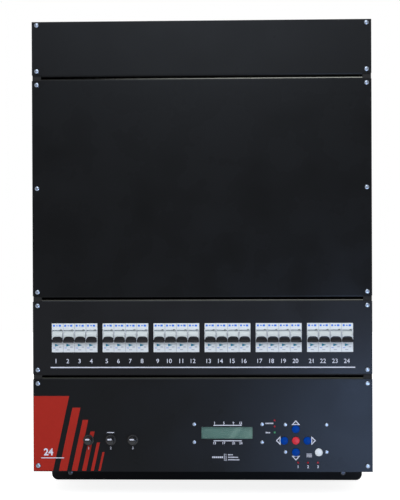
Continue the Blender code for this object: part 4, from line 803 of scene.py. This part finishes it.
# Each label's start left of the upper lamp, its height over it, its width and its dashes.
LAMP_LABELS = ((0.0140, -0.0045, 0.0125, 6), (0.0138, -0.0188, 0.0075, 3))
LAMP_LABEL_TALL = 0.0020
for left, up, width, count in LAMP_LABELS:
    marks += dashes(column[0][0] - left, column[0][1] + up, width, LAMP_LABEL_TALL, count)
MENU_SIGN_AT = (0.0205, -0.0228)
MENU_SIGN_PITCH = 0.0021
MENU_SIGN_BAR = (0.0082, 0.0009)
for step in (-1, 0, 1):
    spot = (key_x + MENU_SIGN_AT[0], key_z + MENU_SIGN_AT[1] + step * MENU_SIGN_PITCH)
    marks.append(bar(spot, MENU_SIGN_BAR, front_y))
FUSE_NUMBER_TALL, FUSE_NUMBERS_BELOW = 0.0040, 0.0125
FUSE_LINE_ABOVE_FOOT, FUSE_LINE = 0.0606, (0.0110, 0.0012)
caps = [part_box(f"fuse_cap_{number}") for number in (1, 2, 3)]
fuses = [(low + high) / 2 for low, high in caps]
for number, spot in enumerate(fuses, start=1):
    # The first number lies on the red bars, so its ink is a layer higher.
    printed_on = front_y - INK_PROUD if number == 1 else front_y
    marks.append(label(str(number), FUSE_NUMBER_TALL, spot.x, spot.z - FUSE_NUMBERS_BELOW, printed_on))
marks.append(bar((fuses[1].x, foot_z + FUSE_LINE_ABOVE_FOOT), FUSE_LINE, front_y))
piece("control_panel_print", together(marks), white_ink, "dimmer")


# The corner graphic: leaning red bars that fall in height and width towards the right, in the
# control panel's lower left corner, and the channel count in white. Screen-printed, with round
# clearings where the fuse holders stand.
LEAN = 0.22
# Each bar's start from the panel's left edge, width and height. The first is upright at its left.
FIRST_BAR = (0.0005, 0.0300, 0.1160)
BARS = ((0.0395, 0.0125, 0.0980), (0.0595, 0.0088, 0.0790), (0.0755, 0.0066, 0.0610),
        (0.0892, 0.0048, 0.0440), (0.1010, 0.0034, 0.0290))
PRINT_FOOT = 0.0012
CLEARING_RADIUS, CLEARING_DEEP, CLEARING_STEPS = 0.0072, 0.0005, 40
# The count, its height and middle from the panel's lower left corner, and its line's middle and size.
COUNT = ("24", 0.0110, 0.0235, 0.0305)
COUNT_WEIGHT = 0.03
COUNT_LINE = (0.0300, 0.0212, 0.0360, 0.0012)
# Red screen ink: flat and slightly dull, a thin coat over black.
red_ink = surface("red_screen_ink", "98251c", 0.55, 0.006, 0.0006, 0.000003, specular=0.05, mottle=0.08)
left_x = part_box("control_panel")[0].x
start, foot_width, tall = FIRST_BAR
left, right = left_x + start, left_x + start + foot_width
foot = foot_z + PRINT_FOOT
shapes = [printed([(left, foot), (right, foot), (right + LEAN * tall, foot + tall), (left, foot + tall)],
                  front_y)]
for start, width, tall in BARS:
    centre = (left_x + start + (width + LEAN * tall) / 2, foot + tall / 2)
    shapes.append(bar(centre, (width, tall), front_y, lean=LEAN * tall))
bars = together(shapes)
ahead, behind = front_y - CLEARING_DEEP, front_y + CLEARING_DEEP
for spot in fuses:
    bore = turned([(0.0, ahead), (CLEARING_RADIUS, ahead), (CLEARING_RADIUS, behind), (0.0, behind)],
                  (spot.x, spot.z), CLEARING_STEPS)
    bars = combined(bars, "DIFFERENCE", bore)
piece("corner_bars", bars, red_ink, "dimmer")
words, tall, across, up = COUNT
printed_on = front_y - INK_PROUD
marks = [lettering(words, tall, (left_x + across, foot_z + up), printed_on, COUNT_WEIGHT),
         bar((left_x + COUNT_LINE[0], foot_z + COUNT_LINE[1]), COUNT_LINE[2:], printed_on)]
piece("channel_count", together(marks), white_ink, "dimmer")


# The fuse holders: phenolic rings screwed down on the panel, and turned caps with a slot for a
# coin, which hold the cartridge fuses.
ROUND_STEPS = 48
# The ring's inner and outer radius, how proud and how sunk it is, and the bevel of its edge.
RING = (0.0056, 0.0083, 0.00215, 0.0001, 0.0006)
CAP_FACE, CAP_BASE, CAP_BARREL = 0.0057, 0.0063, 0.0048
CAP_ROUND = 0.0012
# The cap's rim: its taper begins and ends this far from its seat, and its radius grows by this much.
CAP_RIM = (0.0008, 0.0002, 0.0001)
# The slot's width, depth and the length of the blade that cuts it.
COIN_SLOT = (0.0018, 0.0016, 0.03)
# The mark's width and height, and its place across and up from the cap's middle.
CAP_MARK, CAP_MARK_AT = (0.0064, 0.0020), (-0.0004, 0.0026)
# Phenolic moulding: hard, black and glossy, with a bluish glint.
phenolic = surface("black_phenolic", "131417", 0.24, 0.006, 0.0006, 0.000006, specular=0.3, mottle=0.15)
inner, outer, proud, sunk, edge = RING
face, seat = front_y - proud, front_y + sunk
loop = [(inner, face), (outer - edge, face), (outer, face + edge), (outer, seat), (inner, seat),
        (inner, face)]
rings = []
for number, spot in enumerate(fuses, start=1):
    rings.append(turned(loop, (spot.x, spot.z), ROUND_STEPS))
    low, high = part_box(f"fuse_cap_{number}")
    low.y += INK_PROUD
    base = joints[f"fuse_cap_{number}_turn"]["pos_m"][1]
    profile = [(0.0, low.y), (CAP_FACE - CAP_ROUND, low.y),
               (CAP_FACE - CAP_ROUND * 0.5, low.y + CAP_ROUND * 0.14),
               (CAP_FACE - CAP_ROUND * 0.14, low.y + CAP_ROUND * 0.5), (CAP_FACE, low.y + CAP_ROUND),
               (CAP_BASE - CAP_RIM[2], base - CAP_RIM[0]), (CAP_BASE, base - CAP_RIM[1]),
               (CAP_BASE - CAP_RIM[1], base), (CAP_BARREL, base), (CAP_BARREL, high.y), (0.0, high.y)]
    cap = turned(profile, (spot.x, spot.z), ROUND_STEPS)
    blade = bmesh.new()
    bmesh.ops.create_cube(blade, size=1.0)
    bmesh.ops.scale(blade, verts=blade.verts, vec=(COIN_SLOT[2], COIN_SLOT[1] * 2, COIN_SLOT[0]))
    shift(blade, (spot.x, low.y, spot.z))
    cap = combined(cap, "DIFFERENCE", blade)
    made = piece(f"fuse_holder_cap_{number}", cap, phenolic, f"fuse_cap_{number}")
    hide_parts(f"fuse_cap_{number}")
    mark = bar((spot.x + CAP_MARK_AT[0], spot.z + CAP_MARK_AT[1]), CAP_MARK, low.y)
    piece(f"fuse_cap_mark_{number}", mark, white_ink, f"fuse_cap_{number}")
piece("fuse_holder_rings", together(rings), phenolic, "dimmer")


# The display: a liquid-crystal cell in its bezel behind the control panel, and a clear acrylic
# pane let into the panel's window.
DISPLAY_WINDOW = (0.0788, 0.0185)
DISPLAY_FROM_RIGHT, DISPLAY_ABOVE_FOOT = 0.2244, 0.0601
# Set back from the panel's front, thickness and bevel of the cell and of the pane.
CELL = (0.0019, 0.0006, 0.00005)
PANE = (0.0006, 0.0010, 0.0001)
REFLECTION_SLANT = 0.75
# Position along the display and paleness of each band of painted reflection.
REFLECTION_BANDS = ((0.0, 0.0), (0.56, 0.06), (0.63, 0.40), (0.70, 0.34), (0.75, 0.02), (1.0, 0.36))
window_x, window_z = right_x - DISPLAY_FROM_RIGHT, foot_z + DISPLAY_ABOVE_FOOT


def plate(back, thickness, edge):
    """A thin plate with bevelled edges in the window, set back from the panel's front."""
    shape = bmesh.new()
    bmesh.ops.create_cube(shape, size=1.0)
    bmesh.ops.scale(shape, verts=shape.verts, vec=(DISPLAY_WINDOW[0], thickness, DISPLAY_WINDOW[1]))
    bmesh.ops.bevel(shape, geom=shape.edges[:], offset=edge, segments=2, profile=0.5, affect="EDGES",
                    material=-1)
    shift(shape, (window_x, front_y + back + thickness / 2, window_z))
    return shape


# Liquid crystal: a grey-green reflecting film with a faint grain, and slanting bands a little
# paler that are painted reflections on the display.
crystal = surface("liquid_crystal", "577973", 0.45, 0.03, 0.0008, 0.000002, specular=0.05, mottle=0.06)
tree = crystal.node_tree
shader = tree.nodes["Principled BSDF"]
spot = add_node(tree, "ShaderNodeSeparateXYZ",
                {0: add_node(tree, "ShaderNodeTexCoord").outputs["Object"]})
slanted = add_node(tree, "ShaderNodeMath", {0: spot.outputs["Z"], 1: -REFLECTION_SLANT, 2: spot.outputs["X"]},
                   operation="MULTIPLY_ADD")
middle = window_x - REFLECTION_SLANT * window_z
along = add_node(tree, "ShaderNodeMapRange", {"Value": slanted.outputs[0],
                                              "From Min": middle - DISPLAY_WINDOW[0] / 2,
                                              "From Max": middle + DISPLAY_WINDOW[0] / 2})
bands = add_node(tree, "ShaderNodeValToRGB", {0: along.outputs[0]})
stops = bands.color_ramp.elements
stops[0].position, stops[1].position = 0.0, 1.0
for position, _ in REFLECTION_BANDS[1:-1]:
    stops.new(position)
for stop, (_, level) in zip(stops, REFLECTION_BANDS):
    stop.color = (level, level, level, 1.0)
with_reflection = add_node(tree, "ShaderNodeMix", {"Factor": bands.outputs[0],
                                          6: shader.inputs["Base Color"].links[0].from_socket,
                                          7: linear("86a79e")}, data_type="RGBA")
tree.links.new(with_reflection.outputs[2], shader.inputs["Base Color"])
# Acrylic: clear, thin and glossy, so little of it shows but a soft reflection.
clear_acrylic = surface("clear_acrylic", "2c3230", 0.1, 0.02, 0.001, 0.000001, mottle=0.02)
glass = clear_acrylic.node_tree.nodes["Principled BSDF"]
glass.inputs["IOR"].default_value = 1.49
glass.inputs["Alpha"].default_value = 0.06
piece("display_cell", plate(*CELL), crystal, "dimmer")
piece("display_pane", plate(*PANE), clear_acrylic, "dimmer")


# Inside the case: the parts that keep their CAD shape, each in the material it is made of. They
# show when the covers are off: heatsink, boards, chokes, busbar, transformer, terminals and fan.
def striped(name, colours, roughness, pitch, direction, relief, metallic=0.0):
    """A finish in fine bands of two colours, pitch metres apart along an axis."""
    paint, tree, shader, place = new_finish(name, {"Metallic": metallic, "Roughness": roughness})
    # At a scale of 1 a band repeats every tau / 20 metres.
    bands = add_node(tree, "ShaderNodeTexWave", {"Vector": place, "Scale": math.tau / 20 / pitch,
                                                 "Distortion": 0.4, "Detail": 2.0, "Detail Scale": 3.0},
                     wave_type="BANDS", bands_direction=direction)
    mix = add_node(tree, "ShaderNodeMix", {"Factor": bands.outputs[1], 6: linear(colours[0]),
                                           7: linear(colours[1])}, data_type="RGBA")
    tree.links.new(mix.outputs[2], shader.inputs["Base Color"])
    bump = add_node(tree, "ShaderNodeBump", {"Height": bands.outputs[1], "Strength": 1.0,
                                             "Distance": relief})
    tree.links.new(bump.outputs[0], shader.inputs["Normal"])
    return paint


def board(name, mask, track):
    """A circuit board's solder mask over rows of tracks that lie in X and Z."""
    paint, tree, shader, place = new_finish(name, {})
    flat = add_node(tree, "ShaderNodeMapping", {"Vector": place, "Rotation": (math.radians(-90), 0, 0)})
    tracks = add_node(tree, "ShaderNodeTexBrick",
                      {"Vector": flat.outputs[0], "Color1": linear(mask), "Color2": linear(mask),
                       "Mortar": linear(track), "Scale": 1.0, "Mortar Size": 0.0003,
                       "Mortar Smooth": 0.2, "Brick Width": 0.0152, "Row Height": 0.0025},
                      offset=0.37, squash=0.6, squash_frequency=3)
    cloud = add_node(tree, "ShaderNodeTexNoise", {"Vector": place, "Scale": 1 / 0.012, "Detail": 3.0})
    gloss = add_node(tree, "ShaderNodeMapRange", {"Value": cloud.outputs[0], "To Min": 0.25,
                                                  "To Max": 0.45})
    tree.links.new(tracks.outputs["Color"], shader.inputs["Base Color"])
    tree.links.new(gloss.outputs[0], shader.inputs["Roughness"])
    bump = add_node(tree, "ShaderNodeBump", {"Height": tracks.outputs["Fac"], "Strength": 1.0,
                                             "Distance": 0.00003})
    tree.links.new(bump.outputs[0], shader.inputs["Normal"])
    return paint


# Extruded aluminium: pale grey, with fine lines drawn along the fins by the die.
aluminium = striped("extruded_aluminium", ("aeb2b6", "c2c6ca"), 0.36, 0.0012, "X", 0.00001, metallic=1.0)
dress(aluminium, "heatsink")
# Solder mask: deep green lacquer, glossy, paler over the copper tracks.
solder_mask = board("green_solder_mask", "17482f", "2f7a50")
dress(solder_mask, "power_board", "control_board", "display_module", "keypad_board")
# Iron powder: pressed cores under dull grey-green varnish, slightly grainy.
iron_powder = surface("varnished_iron_powder", "5c5e50", 0.5, 0.010, 0.0008, 0.00003)
dress(iron_powder, "choke_tray")
# Rolled copper: bare and bright, tarnished brown in patches.
rolled_copper = surface("rolled_copper", "b06a48", 0.35, 0.008, 0.0006, 0.00001, metallic=1.0, mottle=0.3)
dress(rolled_copper, "comb_busbar")
# Laminated steel: 0.5 mm varnished sheets stacked on edge, drawn 1 mm thick so that they show.
laminations = striped("laminated_steel", ("37383c", "55565a"), 0.45, 0.001, "Y", 0.00003, metallic=1.0)
dress(laminations, "transformer")
# Flat cable: grey vinyl, one ridge to every wire at a pitch of 1.27 mm.
ribbon_vinyl = striped("ribbon_vinyl", ("767b81", "9aa0a6"), 0.5, 0.00127, "X", 0.0001)
dress(ribbon_vinyl, "ribbon_cable")
# Glass-filled polyamide: black and dull, with a coarse grain.
filled_polyamide = surface("filled_polyamide", "1c1c1e", 0.55, 0.006, 0.0008, 0.00002)
dress(filled_polyamide, "fan_frame", "fan_rotor", "terminal_strip", "supply_block")
# The mounting rail is bent from strip, zinc-plated like the screws.
dress(zinc_plate, "breaker_rail")

bpy.context.view_layer.update()
